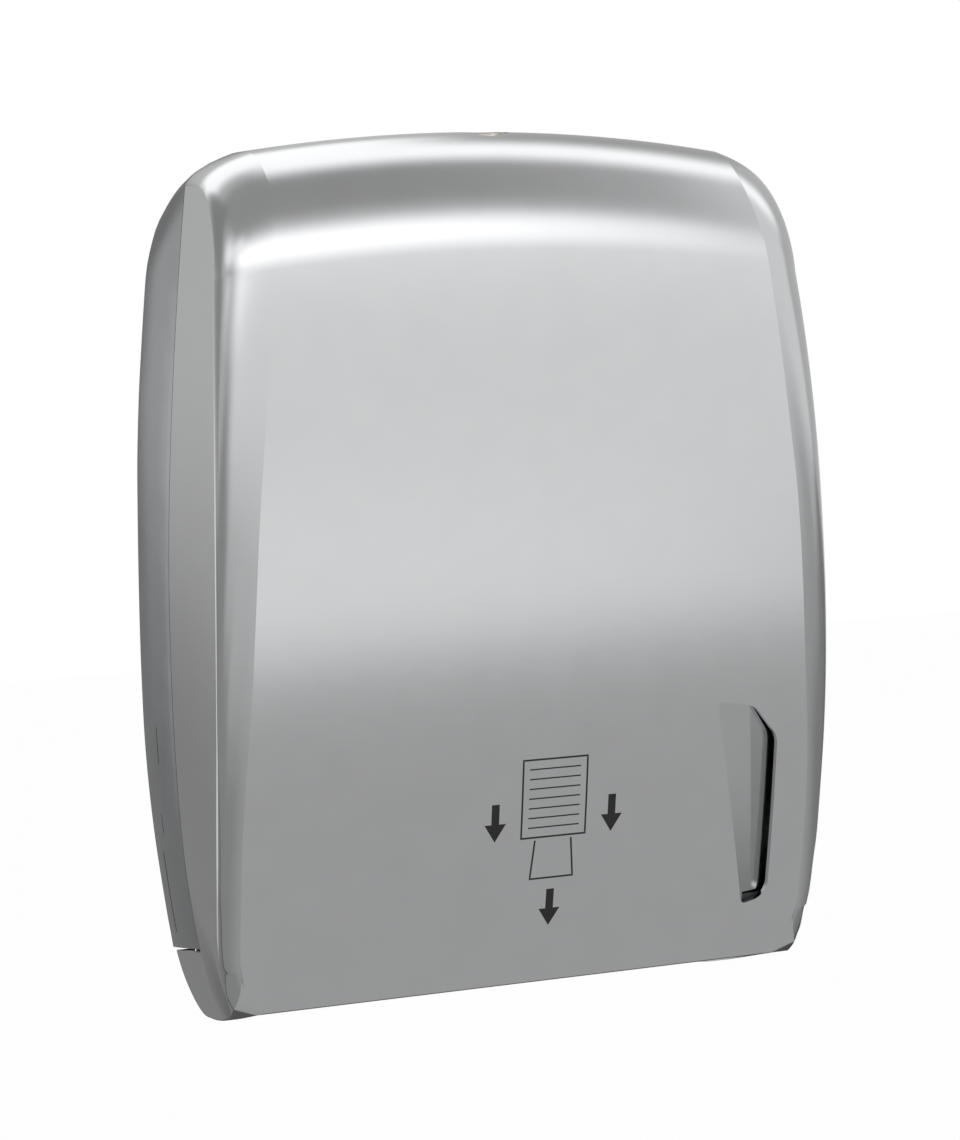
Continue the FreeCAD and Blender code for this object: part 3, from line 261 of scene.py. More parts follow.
# The facet at the front's lower corner: rows from its top round the front's lower edge onto the underside,
# its far edge as (half width, y, z), and the strip's end on the side as (y, z)
FACET_ROWS = (
    (49.0, (131.9, -117.8, 49.0), (-114.9, 49.0)),
    (44.0, (131.4, -117.1, 45.2), (-114.3, 46.0)),
    (40.0, (131.5, -116.6, 41.8), (-113.8, 43.0)),
    (36.0, (131.8, -116.1, 38.2), (-113.3, 40.0)),
    (32.0, (132.6, -115.3, 34.9), (-112.8, 37.2)),
    (28.2, (133.5, -114.2, 31.9), (-112.2, 34.8)),
    (26.0, (133.7, -113.8, 31.2), (-112.0, 34.2)),
    (24.0, (133.9, -112.9, 30.2), (-111.6, 33.0)),
    (22.0, (134.1, -110.8, 28.3), (-110.6, 30.6)),
    (20.0, (134.3, -108.1, 26.0), (-108.6, 27.6)),
)
# Half width of the face beside the facet on the underside: (y, half width)
FACE_BESIDE_FACET = ((-114.5, 121.6), (-112.5, 125.8), (-110.3, 130.5), (-108.0, 134.0))


def between(knots, place):
    """The value of a table at a place, on a smooth curve through its knots. A value may have several parts."""
    def parts(value):
        return value if isinstance(value, tuple) else (value,)

    knots = sorted(knots)
    count = len(knots)
    spot = max(min(place, knots[-1][0]), knots[0][0])
    low = max(number for number in range(count - 1) if knots[number][0] <= spot or number == 0)
    (a, start), (b, end) = knots[low], knots[low + 1]
    before = knots[max(low - 1, 0)]
    after = knots[min(low + 2, count - 1)]
    share = (spot - a) / (b - a)
    result = []
    for number in range(len(parts(start))):
        p, q = parts(start)[number], parts(end)[number]
        slope_p = (q - parts(before[1])[number]) / (b - before[0])
        slope_q = (parts(after[1])[number] - p) / (after[0] - a)
        s2, s3 = share ** 2, share ** 3
        result.append((2 * s3 - 3 * s2 + 1) * p + (s3 - 2 * s2 + share) * (b - a) * slope_p
                      + (3 * s2 - 2 * s3) * q + (s3 - s2) * (b - a) * slope_q)
    return tuple(result) if isinstance(start, tuple) else result[0]


def soft_step(share):
    """A smooth step from 0 to 1."""
    share = max(0.0, min(1.0, share))
    return share * share * (3 - 2 * share)


def side_at(z):
    """Half the case's width at a height, before the sides are drawn in and out towards the wall and the front."""
    radius = UPPER_SIDE_RADIUS if z >= WIDEST_HEIGHT else LOWER_SIDE_RADIUS
    return CASE_HALF - radius + math.sqrt(radius ** 2 - (z - WIDEST_HEIGHT) ** 2)


def side_surface(y, z):
    """Half the case's width at a depth and a height: the sides flare towards the front's lower half."""
    at_wall = side_at(z) - SIDE_INSET - 1.2 * math.exp(-((z - 105.0) / 55.0) ** 2)
    at_parting = side_at(z) - SIDE_INSET - 1.8 * math.exp(-((z - 130.0) / 60.0) ** 2)
    if y >= PARTING_Y:
        return at_wall + (at_parting - at_wall) * y / PARTING_Y
    at_front = CASE_HALF - SIDE_INSET
    at_front -= CASE_HALF - side_at(z) if z >= WIDEST_HEIGHT else (WIDEST_HEIGHT - z) ** 2 / SIDE_FLARE
    at_front -= DRAW_IN * (max(DRAW_IN_TOP - z, 0.0) / DRAW_IN_RUN) ** 2
    return at_parting + (at_front - at_parting) * (y - PARTING_Y) / (SIDE_FRONT_Y - PARTING_Y)


def lifted(z, x):
    """A height of the middle section, lowered away from the middle by the arch of the top."""
    if z <= BULGE_HEIGHT:
        return z
    drop = ARCH_RADIUS - math.sqrt(ARCH_RADIUS ** 2 - x * x)
    return BULGE_HEIGHT + (z - BULGE_HEIGHT) * (1 - drop / (CASE_HEIGHT - BULGE_HEIGHT))


def crown_z(y):
    """The crown's height in the middle at a depth."""
    return CASE_HEIGHT - CROWN_RADIUS + math.sqrt(CROWN_RADIUS ** 2 - (y + CROWN_DEPTH) ** 2)


def front_y(z):
    """The front's depth at a height."""
    return FRONT_CENTRE_Y - math.sqrt(FRONT_RADIUS ** 2 - (z - BULGE_HEIGHT) ** 2)


def front_normal(z):
    """The front's outward direction at a height, as (y, z)."""
    lean = math.asin((z - BULGE_HEIGHT) / FRONT_RADIUS)
    return (-math.cos(lean), math.sin(lean))


def mixed(start, end, share):
    """The point at a share of the way from one point to another."""
    return tuple(a + (b - a) * share for a, b in zip(start, end))


def bezier(points, share):
    """A point of the Bezier curve over its control points."""
    while len(points) > 1:
        points = [mixed(p, q, share) for p, q in zip(points, points[1:])]
    return points[0]


def shoulder_rows():
    """The cover's middle section from the crown's rear edge round to the front: (name, y, z, outward normal)."""
    rows = []
    crown_steps = 6
    for step in range(crown_steps):
        y = PARTING_Y + (SHOULDER_REAR_Y - PARTING_Y) * step / crown_steps
        rows.append(("crown", y, crown_z(y), (0.0, 1.0)))
    start = (SHOULDER_REAR_Y, crown_z(SHOULDER_REAR_Y))
    end = (front_y(SHOULDER_LOW), SHOULDER_LOW)
    normal = front_normal(SHOULDER_LOW)
    corner = (end[0] + (start[1] - end[1]) * normal[1] / -normal[0], start[1])
    pull = 0.56
    handles = [start, mixed(start, corner, pull), mixed(end, corner, pull), end]
    count = 36
    nudge = 0.01
    for step in range(count):
        share = step / count
        y, z = bezier(handles, share)
        ahead = bezier(handles, min(share + nudge, 1.0))
        behind = bezier(handles, max(share - nudge, 0.0))
        run = (ahead[0] - behind[0], ahead[1] - behind[1])
        size = math.hypot(*run)
        rows.append(("shoulder", y, z, (run[1] / size, -run[0] / size)))
    return rows


def cover_profile():
    """The cover's whole middle section, from the crown's rear edge round to the hook's end."""
    rows = shoulder_rows()
    for z in [SHOULDER_LOW - step * 6.0 for step in range(48)] + CORNER_HEIGHTS:
        rows.append(("front", front_y(z), z, front_normal(z)))
    corner = (front_y(FRONT_EDGE_HEIGHT), FRONT_EDGE_HEIGHT)
    run = math.hypot(corner[0] - PIVOT[0], corner[1] - PIVOT[1])
    touch = (math.atan2(corner[1] - PIVOT[1], corner[0] - PIVOT[0]) + math.acos(KEEL_RADIUS / run)) % (2 * math.pi)
    low = (PIVOT[0] + KEEL_RADIUS * math.cos(touch), PIVOT[1] + KEEL_RADIUS * math.sin(touch))
    length = math.dist(corner, low)
    along = ((low[0] - corner[0]) / length, (low[1] - corner[1]) / length)
    below = (along[1], -along[0])
    ease = 0.3
    rows.append(("edge", corner[0] + ease * 0.8, corner[1] + ease * 0.3, (-0.75, -0.66)))
    for gone in UNDERSIDE_GAPS:
        share = gone / length
        # 6.75 makes the curve's height 1 where it is highest, at two thirds
        sag = UNDERSIDE_SAG * 6.75 * share * share * (1 - share)
        y, z = (corner[axis] + along[axis] * gone + below[axis] * sag for axis in (0, 1))
        rows.append(("under", y, z, below))
    count = 22
    for step in range(count + 1):
        turn = touch + (2 * math.pi - touch) * step / count
        normal = (math.cos(turn), math.sin(turn))
        rows.append(("keel", PIVOT[0] + KEEL_RADIUS * normal[0], PIVOT[1] + KEEL_RADIUS * normal[1], normal))
    rows.append(("keel", HOOK_REAR[0], HOOK_REAR[1], (1.0, 0.0)))
    return rows


def quadratic(start, end, first, last):
    """The control points of a curve between two points, leaving and arriving at two angles."""
    across, deep = end[0] - start[0], end[1] - start[1]
    size = (deep - across * math.tan(first)) / (math.sin(last) - math.cos(last) * math.tan(first))
    return [start, (end[0] - size * math.cos(last), end[1] - size * math.sin(last)), end]


def edge_points(name, y, z, normal):
    """The half section of a row from the face's border outwards: points of the facet and the strip, and the strip's
    end on the side, all as (x, y, z), with the radius of the crease there."""
    facet_row = None
    if name == "front" and z < FACET_TOP:
        facet_row, face = z, between(FACE_ON_FRONT, z)
    elif name == "edge":
        facet_row, face = 27.0, between(FACE_ON_FRONT, 28.0)
    elif name == "under" and y < FACET_REAR:
        facet_row, face = 26.0 + (20.0 - 26.0) * (y + 114.5) / 6.5, between(FACE_BESIDE_FACET, y)
    if facet_row is not None:
        knots = [(row, far + end) for row, far, end in FACET_ROWS]
        values = between(knots, facet_row)
        far = values[:3]
        end = (side_surface(*values[3:]),) + values[3:]
        facet = [mixed((face, y, z), far, step / FACET_STEPS) for step in range(FACET_STEPS + 1)]
        bulge = 0.10 * math.dist(far, end)
        middle = tuple(value + push * bulge for value, push in zip(mixed(far, end, 0.5), (0.35, -0.8, -0.3)))
        stop = 0.9 - 0.35 * soft_step((z - 28.0) / 21.0)
        strip = [bezier([far, middle, end], stop * step / STRIP_STEPS) for step in range(1, STRIP_STEPS + 1)]
        return facet + strip, end, 1.0 + 7.0 * soft_step((z - 28.0) / 21.0)
    if name in ("crown", "shoulder", "front"):
        place = y if name == "crown" else z
        tables = {"crown": (FACE_ON_CROWN, DEPTH_ON_CROWN), "shoulder": (FACE_ON_SHOULDER, DEPTH_ON_SHOULDER),
                  "front": (FACE_ON_FRONT, DEPTH_ON_FRONT)}[name]
        face, depth = (between(table, place) for table in tables)
    else:
        depth = 0.7
        face = side_surface(y, z) - 0.7
    end_x = side_at(z)
    for turn in range(3):
        end_y, end_z = y - normal[0] * depth, lifted(z, end_x) - normal[1] * depth
        end_x = side_surface(end_y, end_z)
    end = (end_x, end_y, end_z)
    across = end[0] - face
    chord = math.atan2(depth, across)
    first = STRIP_LEAVES if name in ("crown", "shoulder", "front") else chord * 0.4
    last = max(STRIP_MEETS, chord + 0.2)
    if name == "front":
        radius = 0.9 + 3.2 * soft_step((165.0 - z) / 70.0) + 4.0 * soft_step((85.0 - z) / 32.0)
    else:
        radius = 0.7 if name in ("crown", "shoulder") else 0.2
    controls = quadratic((0.0, 0.0), (across, depth), first, last)
    length = math.hypot(across, depth)
    stop = 1 - min(radius / length * 0.8, 0.45)
    apart = 0.02 + 0.12 * soft_step((z - FACET_TOP) / 60.0)
    shares = [apart * step / FACET_STEPS for step in range(FACET_STEPS + 1)]
    shares += [apart + (stop - apart) * step / STRIP_STEPS for step in range(1, STRIP_STEPS + 1)]
    points = []
    for share in shares:
        over, deep = bezier(controls, share)
        points.append((face + over, y - normal[0] * deep, lifted(z, face + over) - normal[1] * deep))
    return points, end, radius


def border_stops(profile, length, top):
    """Where each row of the cover ends on the parting line and the hook's upper edge."""
    names = [row[0] for row in profile]
    edge = names.index("edge")
    middle = mixed(HOOK_FRONT, HOOK_REAR, 0.5)
    stops = [(0, (PARTING_Y, top - 3.0)), (names.index("front"), (PARTING_Y, 335.0)), (edge - 16, (PARTING_Y, 54.0)),
             (edge + 12, HOOK_FRONT), (names.index("keel"), middle),
             (len(profile) - 1, (HOOK_REAR[0] - 6.4, HOOK_REAR[1] + 1.65))]
    places = []
    for (low, start), (high, end) in zip(stops, stops[1:]):
        for number in range(low, high):
            share = (length[number] - length[low]) / (length[high] - length[low])
            places.append(mixed(start, end, share))
    places.append(stops[-1][1])
    return places


def cover_skin(ease, wall):
    """Rows of points over the cover from its right border to its left one, wall millimetres inside the outer skin."""
    profile = cover_profile()
    length = [0.0]
    for before, after in zip(profile, profile[1:]):
        length.append(length[-1] + math.dist(before[1:3], after[1:3]))
    border = border_stops(profile, length, edge_points(*profile[0])[1][2])
    rows = []
    full_wall = wall
    for number, ((name, y, z, normal), goal) in enumerate(zip(profile, border)):
        points, end, radius = edge_points(name, y, z, normal)
        # Thinner at the crown's rear edge and towards the hook's end, so that the inner skin can't fold
        wall = full_wall * (1 - 0.9 * soft_step((number - len(profile) + 20) / 10))
        wall *= 0.3 + 0.7 * soft_step(number / 5)
        inner_y, inner_z = inner_place(name, y, z, normal, wall) if rows else (y, z - wall)
        face = points[0][0]
        run = math.dist(goal, end[1:])
        radius = min(radius, run / 4)
        inward = max(-normal[0] * (goal[0] - end[1]) - normal[1] * (goal[1] - end[2]), 0.3 * run) / run
        start = min(radius + wall * 1.1 / inward, run * 0.85) / run
        side = []
        for step in range(SIDE_STEPS):
            y_here, z_here = mixed(end[1:], goal, start + (1 - start) * step / (SIDE_STEPS - 1))
            side.append((side_surface(y_here, z_here), y_here, z_here))
        bend = [points[-1], end, side[0]]
        crease = [bezier(bend, step / (CREASE_STEPS + 1)) for step in range(1, CREASE_STEPS + 1)]
        outer = [(face - 3 * ease, y, lifted(z, face - 3 * ease)), (face - ease, y, lifted(z, face - ease))]
        half = outer + points + crease
        if wall:
            half, side = inner_half(half, side, (y, z), (inner_y, inner_z), wall)
        across = [half[0][0] * (1 - 2 * step / FACE_STEPS) for step in range(1, FACE_STEPS)]
        middle_y, middle_z = (inner_y, inner_z) if wall else (y, z)
        face_row = [(x, middle_y, lifted(middle_z, x)) for x in across]
        rows.append(side[::-1] + half[::-1] + face_row + [(-x, y_here, z_here) for x, y_here, z_here in half + side])
    return rows


def inner_place(name, y, z, normal, wall):
    """A profile point moved in by the wall. Beside the front's lower edge the points close up to the inner corner."""
    reach = 5.5
    corner = (front_y(FRONT_EDGE_HEIGHT), FRONT_EDGE_HEIGHT)
    gone = math.dist((y, z), corner)
    if name not in ("front", "edge", "under") or gone > reach:
        return y - normal[0] * wall, z - normal[1] * wall
    inner_corner = (corner[0] + 0.88 * wall, corner[1] + 0.77 * wall)
    if name == "edge":
        return inner_corner
    far = tuple(at + (to - at) * reach / gone for at, to in zip(corner, (y, z)))
    return mixed(inner_corner, (far[0] - normal[0] * wall, far[1] - normal[1] * wall), gone / reach)


def inner_half(half, side, outer_middle, inner_middle, wall):
    """The same half row on the inner skin: its points moved in from the face and from the side."""
    shift = (inner_middle[0] - outer_middle[0], inner_middle[1] - outer_middle[1])
    near, far = half[0][0], half[-1][0]
    start = min(near, far - wall - 0.5)
    thinner = 0.6 * soft_step((far - near - 3.0) / 6.0)
    result = []
    for x, y, z in half:
        share = (x - near) / (far - near)
        part = 1 - share * thinner
        result.append((start + (far - wall - start) * share, y + shift[0] * part, z + shift[1] * part))
    return result, [(x - wall, y, z) for x, y, z in side]


def placed(point):
    """A point of the case in metres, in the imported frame."""
    return (point[0] * MM, point[1] * MM, (point[2] - MOUNT_HEIGHT) * MM)


def closed_shell(name, outer, inner):
    """A mesh object with an outer and an inner skin of equal rows, joined all round."""
    count = len(outer)
    width = len(outer[0])
    shift = count * width
    points = [placed(point) for rows in (outer, inner) for row in rows for point in row]
    faces = []
    for row in range(count - 1):
        for column in range(width - 1):
            a = row * width + column
            quad = (a, a + 1, a + 1 + width, a + width)
            faces += [quad, tuple(shift + corner for corner in reversed(quad))]
    rim = [row * width for row in range(count)] + [(count - 1) * width + column for column in range(1, width)]
    rim += [row * width + width - 1 for row in range(count - 2, -1, -1)] + list(range(width - 2, 0, -1))
    for a, b in zip(rim, rim[1:] + rim[:1]):
        faces.append((a, b, shift + b, shift + a))
    mesh = bpy.data.meshes.new(name)
    mesh.from_pydata(points, [], faces)
    mesh.update()
    shell = bpy.data.objects.new(name, mesh)
    bpy.context.collection.objects.link(shell)
    return shell


def chosen(*pieces):
    """Selects these objects alone, the last one active."""
    bpy.ops.object.select_all(action="DESELECT")
    for piece in pieces:
        piece.select_set(True)
    bpy.context.view_layer.objects.active = pieces[-1]


def settled(piece):
    """Puts the piece's place, turn and scale into its mesh."""
    chosen(piece)
    bpy.ops.object.transform_apply(location=True, rotation=True, scale=True)
    return piece


def box_piece(name, low, high):
    """A box between two corners of the case, in millimetres."""
    low, high = placed(low), placed(high)
    bpy.ops.mesh.primitive_cube_add(size=1.0, location=[(a + b) / 2 for a, b in zip(low, high)])
    piece = bpy.context.object
    piece.name = name
    piece.scale = [b - a for a, b in zip(low, high)]
    return settled(piece)


def rod_piece(name, axis, foot, radius, length, sides=96):
    """A rod from its foot along an axis, in millimetres."""
    turns = {"x": (0, math.pi / 2, 0), "y": (math.pi / 2, 0, 0), "z": (0, 0, 0)}
    middle = [place + (length / 2 if letter == axis else 0.0) for letter, place in zip("xyz", foot)]
    bpy.ops.mesh.primitive_cylinder_add(vertices=sides, radius=radius * MM, depth=abs(length) * MM,
                                        location=placed(middle), rotation=turns[axis])
    piece = bpy.context.object
    piece.name = name
    return settled(piece)


def combine(target, tool, operation):
    """Cuts a tool from the target or joins it on, and removes the tool."""
    chosen(target)
    change = target.modifiers.new("change", "BOOLEAN")
    change.operation = operation
    change.solver = "EXACT"
    change.object = tool
    bpy.ops.object.modifier_apply(modifier=change.name)
    bpy.data.objects.remove(tool, do_unlink=True)


def prism_piece(name, outline, near, far):
    """An outline of the front, (x, z) points in millimetres, drawn out from one depth to another."""
    mesh = bpy.data.meshes.new(name)
    mesh.from_pydata([placed((x, near, z)) for x, z in outline], [], [tuple(range(len(outline)))])
    piece = bpy.data.objects.new(name, mesh)
    bpy.context.collection.objects.link(piece)
    chosen(piece)
    bpy.ops.object.mode_set(mode="EDIT")
    bpy.ops.mesh.select_all(action="SELECT")
    bpy.ops.mesh.extrude_region_move(TRANSFORM_OT_translate={"value": (0, (far - near) * MM, 0)})
    bpy.ops.mesh.select_all(action="SELECT")
    bpy.ops.mesh.normals_make_consistent(inside=False)
    bpy.ops.object.mode_set(mode="OBJECT")
    return piece


def rounded_outline(corners, steps=10):
    """A closed outline of (x, z, radius) corners with its corners rounded."""
    points = []
    count = len(corners)
    for number, (x, z, radius) in enumerate(corners):
        here = Vector((x, z))
        before = (Vector(corners[number - 1][:2]) - here).normalized()
        after = (Vector(corners[(number + 1) % count][:2]) - here).normalized()
        half = before.angle(after) / 2
        centre = here + (before + after).normalized() * (radius / math.sin(half))
        start = here + before * (radius / math.tan(half)) - centre
        end = here + after * (radius / math.tan(half)) - centre
        sweep = start.angle_signed(end)
        for step in range(steps + 1):
            turn = -sweep * step / steps
            points.append(tuple(centre + Vector((start.x * math.cos(turn) - start.y * math.sin(turn),
                                                 start.x * math.sin(turn) + start.y * math.cos(turn)))))
    return points


# The window's corners: (half width, height, radius)
WINDOW = ((103.5, 53.5, 2.0), (85.6, 149.5, 2.0), (104.2, 146.5, 9.0), (116.2, 131.5, 9.0), (116.2, 56.5, 9.0))


# The opening in the underside, and the rods that make the lock's seat and each hinge boss:
# (name, foot, radius, length, what it does)
OPENING_HALF = 118.0
LOCK_Y = -66.0
LOCK_SEAT = (
    ("pad", 386.0, 13.0, 9.4, "UNION"),
    ("hole", 380.0, 8.15, 30.0, "DIFFERENCE"),
    ("seat", 396.0, 10.15, 10.0, "DIFFERENCE"),
)
HINGE_BOSS = (
    ("boss", OPENING_HALF, 7.0, 6.0, "UNION"),
    ("bore", 117.0, 2.55, 6.5, "DIFFERENCE"),
)


def smooth_finish(piece, angle):
    """Smooth shading with edges sharper than an angle kept, and normals weighted by area."""
    chosen(piece)
    bpy.ops.object.shade_smooth_by_angle(angle=math.radians(angle))
    weigh = piece.modifiers.new("weigh", "WEIGHTED_NORMAL")
    weigh.keep_sharp = True
    bpy.ops.object.modifier_apply(modifier=weigh.name)


class DISPENSER_OT_cover(bpy.types.Operator):
    """Builds the cover with its edge strips and facets, window, lock seat and hinge bosses"""
    bl_idname = "dispenser.cover"
    bl_label = "Cover"

    def execute(self, context):
        sizes = context.scene.dispenser_cover
        outer = cover_skin(sizes.ease / MM, 0.0)
        inner = cover_skin(sizes.ease / MM, sizes.wall / MM)
        cover = closed_shell("cover_skin", outer, inner)
        self.mark_creases(cover, outer)
        half = OPENING_HALF
        combine(cover, box_piece("opening", (-half, -96.4, -5.0), (half, 5.0, 48.0)), "DIFFERENCE")
        combine(cover, prism_piece("window", rounded_outline(WINDOW), -140.0, -90.0), "DIFFERENCE")
        for name, foot, radius, length, operation in LOCK_SEAT:
            combine(cover, rod_piece(name, "z", (0.0, LOCK_Y, foot), radius, length), operation)
        for side in (-1, 1):
            for name, foot, radius, length, operation in HINGE_BOSS:
                rod = rod_piece(name, "x", (side * foot, PIVOT[0], PIVOT[1]), radius, side * length)
                combine(cover, rod, operation)
        smooth_finish(cover, 30.0)
        cover.data.materials.append(satin_chrome())
        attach(cover, "cover")
        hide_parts("cover_shell")
        return {"FINISHED"}

    def mark_creases(self, cover, outer):
        """Marks the face's border and the facet's far edge as sharp."""
        width = len(outer[0])
        count = len(outer)
        profile = cover_profile()
        kept = cover.data.attributes.new("sharp_edge", "BOOLEAN", "EDGE")
        for edge in cover.data.edges:
            low, high = sorted(edge.vertices)
            column = min(low % width, width - 1 - low % width)
            if high < count * width and high - low == width and column in (FACE_COLUMN, FACET_COLUMN):
                name, y, z, normal = profile[low // width]
                low_front = name == "front" and z < FACET_TOP
                beside_facet = name == "edge" or low_front or name == "under" and y < FACET_REAR
                kept.data[edge.index].value = name != "keel" and (column == FACE_COLUMN or beside_facet)


# The back case's outline at the wall, from the lower end up and over to the middle: (half width, height)
WALL_OUTLINE = ((128.3, 26.6), (129.3, 33.0), (131.2, 44.4), (136.4, 82.7), (139.7, 120.4), (141.0, 157.5),
                (141.4, 190.0), (141.4, 215.0), (141.1, 248.6), (140.5, 266.5), (139.6, 284.4), (138.3, 302.2),
                (136.9, 319.9), (135.2, 337.5), (133.4, 346.0), (130.0, 357.0), (124.3, 366.6), (117.5, 372.2),
                (108.0, 375.8), (95.0, 378.6), (70.0, 382.0), (35.0, 384.8), (0.0, 385.8))
BACK_FRONT_Y = -49.8
BACK_WALL = 2.0
BACK_STEPS = 12
OUTLINE_STEPS = 90
# How far the cheeks and the top swell between the wall and the parting line
CHEEK_SWELL = 0.9
TOP_SWELL = 1.7
# Slots in the back case's cheek: (y from, y to, z from, z to)
CHEEK_SLOTS = ((-16.4, -15.2, 38.0, 76.0), (-21.4, -20.6, 86.0, 95.0), (-24.6, -23.8, 119.0, 136.0))


class DISPENSER_OT_back(bpy.types.Operator):
    """Builds the back case's rounded cheeks and top over its plate"""
    bl_idname = "dispenser.back"
    bl_label = "Back case"

    def execute(self, context):
        outer, inner = self.skins()
        skin = closed_shell("back_case", outer, inner)
        for side in (-1, 1):
            for near, far, low, high in CHEEK_SLOTS:
                ends = sorted((side * 120.0, side * 146.0))
                combine(skin, box_piece("slot", (ends[0], near, low), (ends[1], far, high)), "DIFFERENCE")
        core = self.core()
        chosen(core, skin)
        bpy.ops.object.join()
        smooth_finish(skin, 10.0)
        skin.data.materials.clear()
        # The back case takes the darker copy of the cover's chrome: its darker colour is painted shade.
        skin.data.materials.append(chrome_with_painted_shade())
        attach(skin, "base")
        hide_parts("back_shell")
        return {"FINISHED"}

    def parting_outline(self):
        """The cover's own outline at the parting line, from the lower end up and over to the middle."""
        row = cover_profile()[0]
        points, end, radius = edge_points(*row)
        low = HOOK_FRONT[1] + 1.5
        count = 24
        heights = [low + (end[2] - 3.0 - low) * step / count for step in range(count + 1)]
        outline = [(side_surface(PARTING_Y, z), z) for z in heights]
        outline += [(x, z) for x, y, z in reversed(points[::3])]
        outline += [(x, lifted(row[2], x)) for x in (100.0, 85.0, 70.0, 50.0, 25.0, 0.0)]
        return outline

    def spaced(self, outline):
        """An outline's points at equal lengths along it."""
        knots, gone = [(0.0, outline[0])], 0.0
        for before, after in zip(outline, outline[1:]):
            gone += math.dist(before, after)
            knots.append((gone, after))
        return [between(knots, gone * step / OUTLINE_STEPS) for step in range(OUTLINE_STEPS + 1)]

    def skins(self):
        """The outer and inner rows of points from the wall to the parting line."""
        wall, parting = self.spaced(WALL_OUTLINE), self.spaced(self.parting_outline())
        outer, inner = [], []
        for step in range(BACK_STEPS + 1):
            share = step / BACK_STEPS
            swell = 4 * share * (1 - share)
            half = []
            for at_wall, at_parting in zip(wall, parting):
                x, z = mixed(at_wall, at_parting, share)
                on_side = soft_step((352.0 - z) / 20.0)
                half.append((min(x + CHEEK_SWELL * swell * on_side, CASE_HALF - 0.1),
                             z + TOP_SWELL * swell * (1 - on_side)))
            thin = []
            for number, (x, z) in enumerate(half):
                before, after = half[max(number - 1, 0)], half[min(number + 1, OUTLINE_STEPS)]
                run = math.dist(before, after)
                thin.append((x - BACK_WALL * (after[1] - before[1]) / run,
                             z + BACK_WALL * (after[0] - before[0]) / run))
            thin[-1] = (0.0, half[-1][1] - BACK_WALL)
            y = BACK_FRONT_Y * share
            for rows, side in ((outer, half), (inner, thin)):
                rows.append([(x, y, z) for x, z in side] + [(-x, y, z) for x, z in side[-2::-1]])
        return outer, inner

    def core(self):
        """A copy of the CAD back shell, drawn in under the new cheeks and top."""
        core = bpy.data.objects.new("back_core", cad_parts["back_shell"].data.copy())
        bpy.context.collection.objects.link(core)
        core.matrix_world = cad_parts["back_shell"].matrix_world
        settled(core)
        bpy.ops.object.mode_set(mode="EDIT")
        bpy.ops.mesh.select_all(action="SELECT")
        bpy.ops.mesh.remove_doubles(threshold=0.00001)
        bpy.ops.object.mode_set(mode="OBJECT")
        for corner in core.data.vertices:
            x, z = corner.co.x / MM, corner.co.z / MM + MOUNT_HEIGHT
            over = abs(x) - 124.0
            if over > 0:
                x = math.copysign(124.0 + over * 0.62, x)
            z -= 7.0 * soft_step((z - 330.0) / 40.0) * (0.5 + 0.5 * soft_step((abs(x) - 85.0) / 35.0))
            corner.co.x, corner.co.z = x * MM, (z - MOUNT_HEIGHT) * MM
        return core


class DISPENSER_OT_pocket(bpy.types.Operator):
    """Sets the two shallow flanks of the sight pocket behind the window"""
    bl_idname = "dispenser.pocket"
    bl_label = "Sight pocket"

    def execute(self, context):
        outer, inner = [], []
        for step in range(27):
            z = 151.6 - step * 3.9
            y = front_y(z)
            left = 85.2 + max(149.5 - z, 0.0) * 0.1865
            ridge = (103.3 + (140.4 - z) * 0.0675, y + 2.4)
            line = [mixed((117.8, y + 5.4), ridge, share) for share in (0.0, 0.33, 0.66, 0.97, 1.0)]
            line += [mixed(ridge, (left, y + 0.3), share) for share in (0.03, 0.35, 0.7, 1.0)]
            outer.append([(x, depth, z) for x, depth in line])
            inner.append([(x, depth + 0.8, z) for x, depth in line])
        pocket = closed_shell("sight_pocket", outer, inner)
        combine(pocket, box_piece("mouth", (104.0, -130.0, 40.0), (125.0, -100.0, 59.0)), "DIFFERENCE")
        smooth_finish(pocket, 20.0)
        pocket.data.materials.append(satin_chrome())
        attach(pocket, "cover")
        return {"FINISHED"}


def bar(x, z, wide, high):
    """A printed bar from its lower left corner."""
    return ((x, z), (x, z + high), (x + wide, z + high), (x + wide, z))


def arrow(x, top, shaft, head):
    """A printed arrow that points down, from the middle of its top."""
    low = top - shaft
    return ((x - 1.8, top), (x + 1.8, top), (x + 1.8, low), (x + 5.0, low), (x, low - head), (x - 5.0, low),
            (x - 1.8, low))


class DISPENSER_OT_signs(bpy.types.Operator):
    """Prints a plain sign on the face: a pack of sheets with one pulled down, and arrows beside it"""
    bl_idname = "dispenser.signs"
    bl_label = "Printed signs"

    def execute(self, context):
        shapes = [bar(-7.0, 95.0, 31.0, 0.8), bar(-7.0, 130.2, 31.0, 0.8),
                  bar(-7.0, 95.9, 0.8, 34.2), bar(23.2, 95.9, 0.8, 34.2)]
        shapes += [bar(-3.5, 99.6 + 4.4 * line, 24.0, 0.6) for line in range(7)]
        shapes += [bar(-2.0, 76.0, 21.0, 0.8), ((-2.0, 76.9), (-0.4, 94.0), (0.4, 94.0), (-1.2, 76.9)),
                   ((18.2, 76.9), (16.6, 94.0), (17.4, 94.0), (19.0, 76.9))]
        shapes += [arrow(8.5, 71.0, 9.0, 8.0), arrow(-19.0, 112.0, 9.0, 8.0), arrow(36.0, 112.0, 9.0, 8.0)]
        tools = [prism_piece("shape", outline, -140.0, -105.0) for outline in shapes]
        chosen(*tools)
        bpy.ops.object.join()
        # A thin sheet that follows the front, from which the shapes are cut
        outer = [[(x, front_y(z) - 0.05, z) for x in (47.0, 28.0, 9.0, -10.0, -29.0)] for z in range(137, 46, -3)]
        inner = [[(x, y + 0.4, z) for x, y, z in row] for row in outer]
        signs = closed_shell("printed_signs", outer, inner)
        combine(signs, tools[-1], "INTERSECT")
        signs.data.materials.append(black_ink())
        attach(signs, "cover")
        return {"FINISHED"}


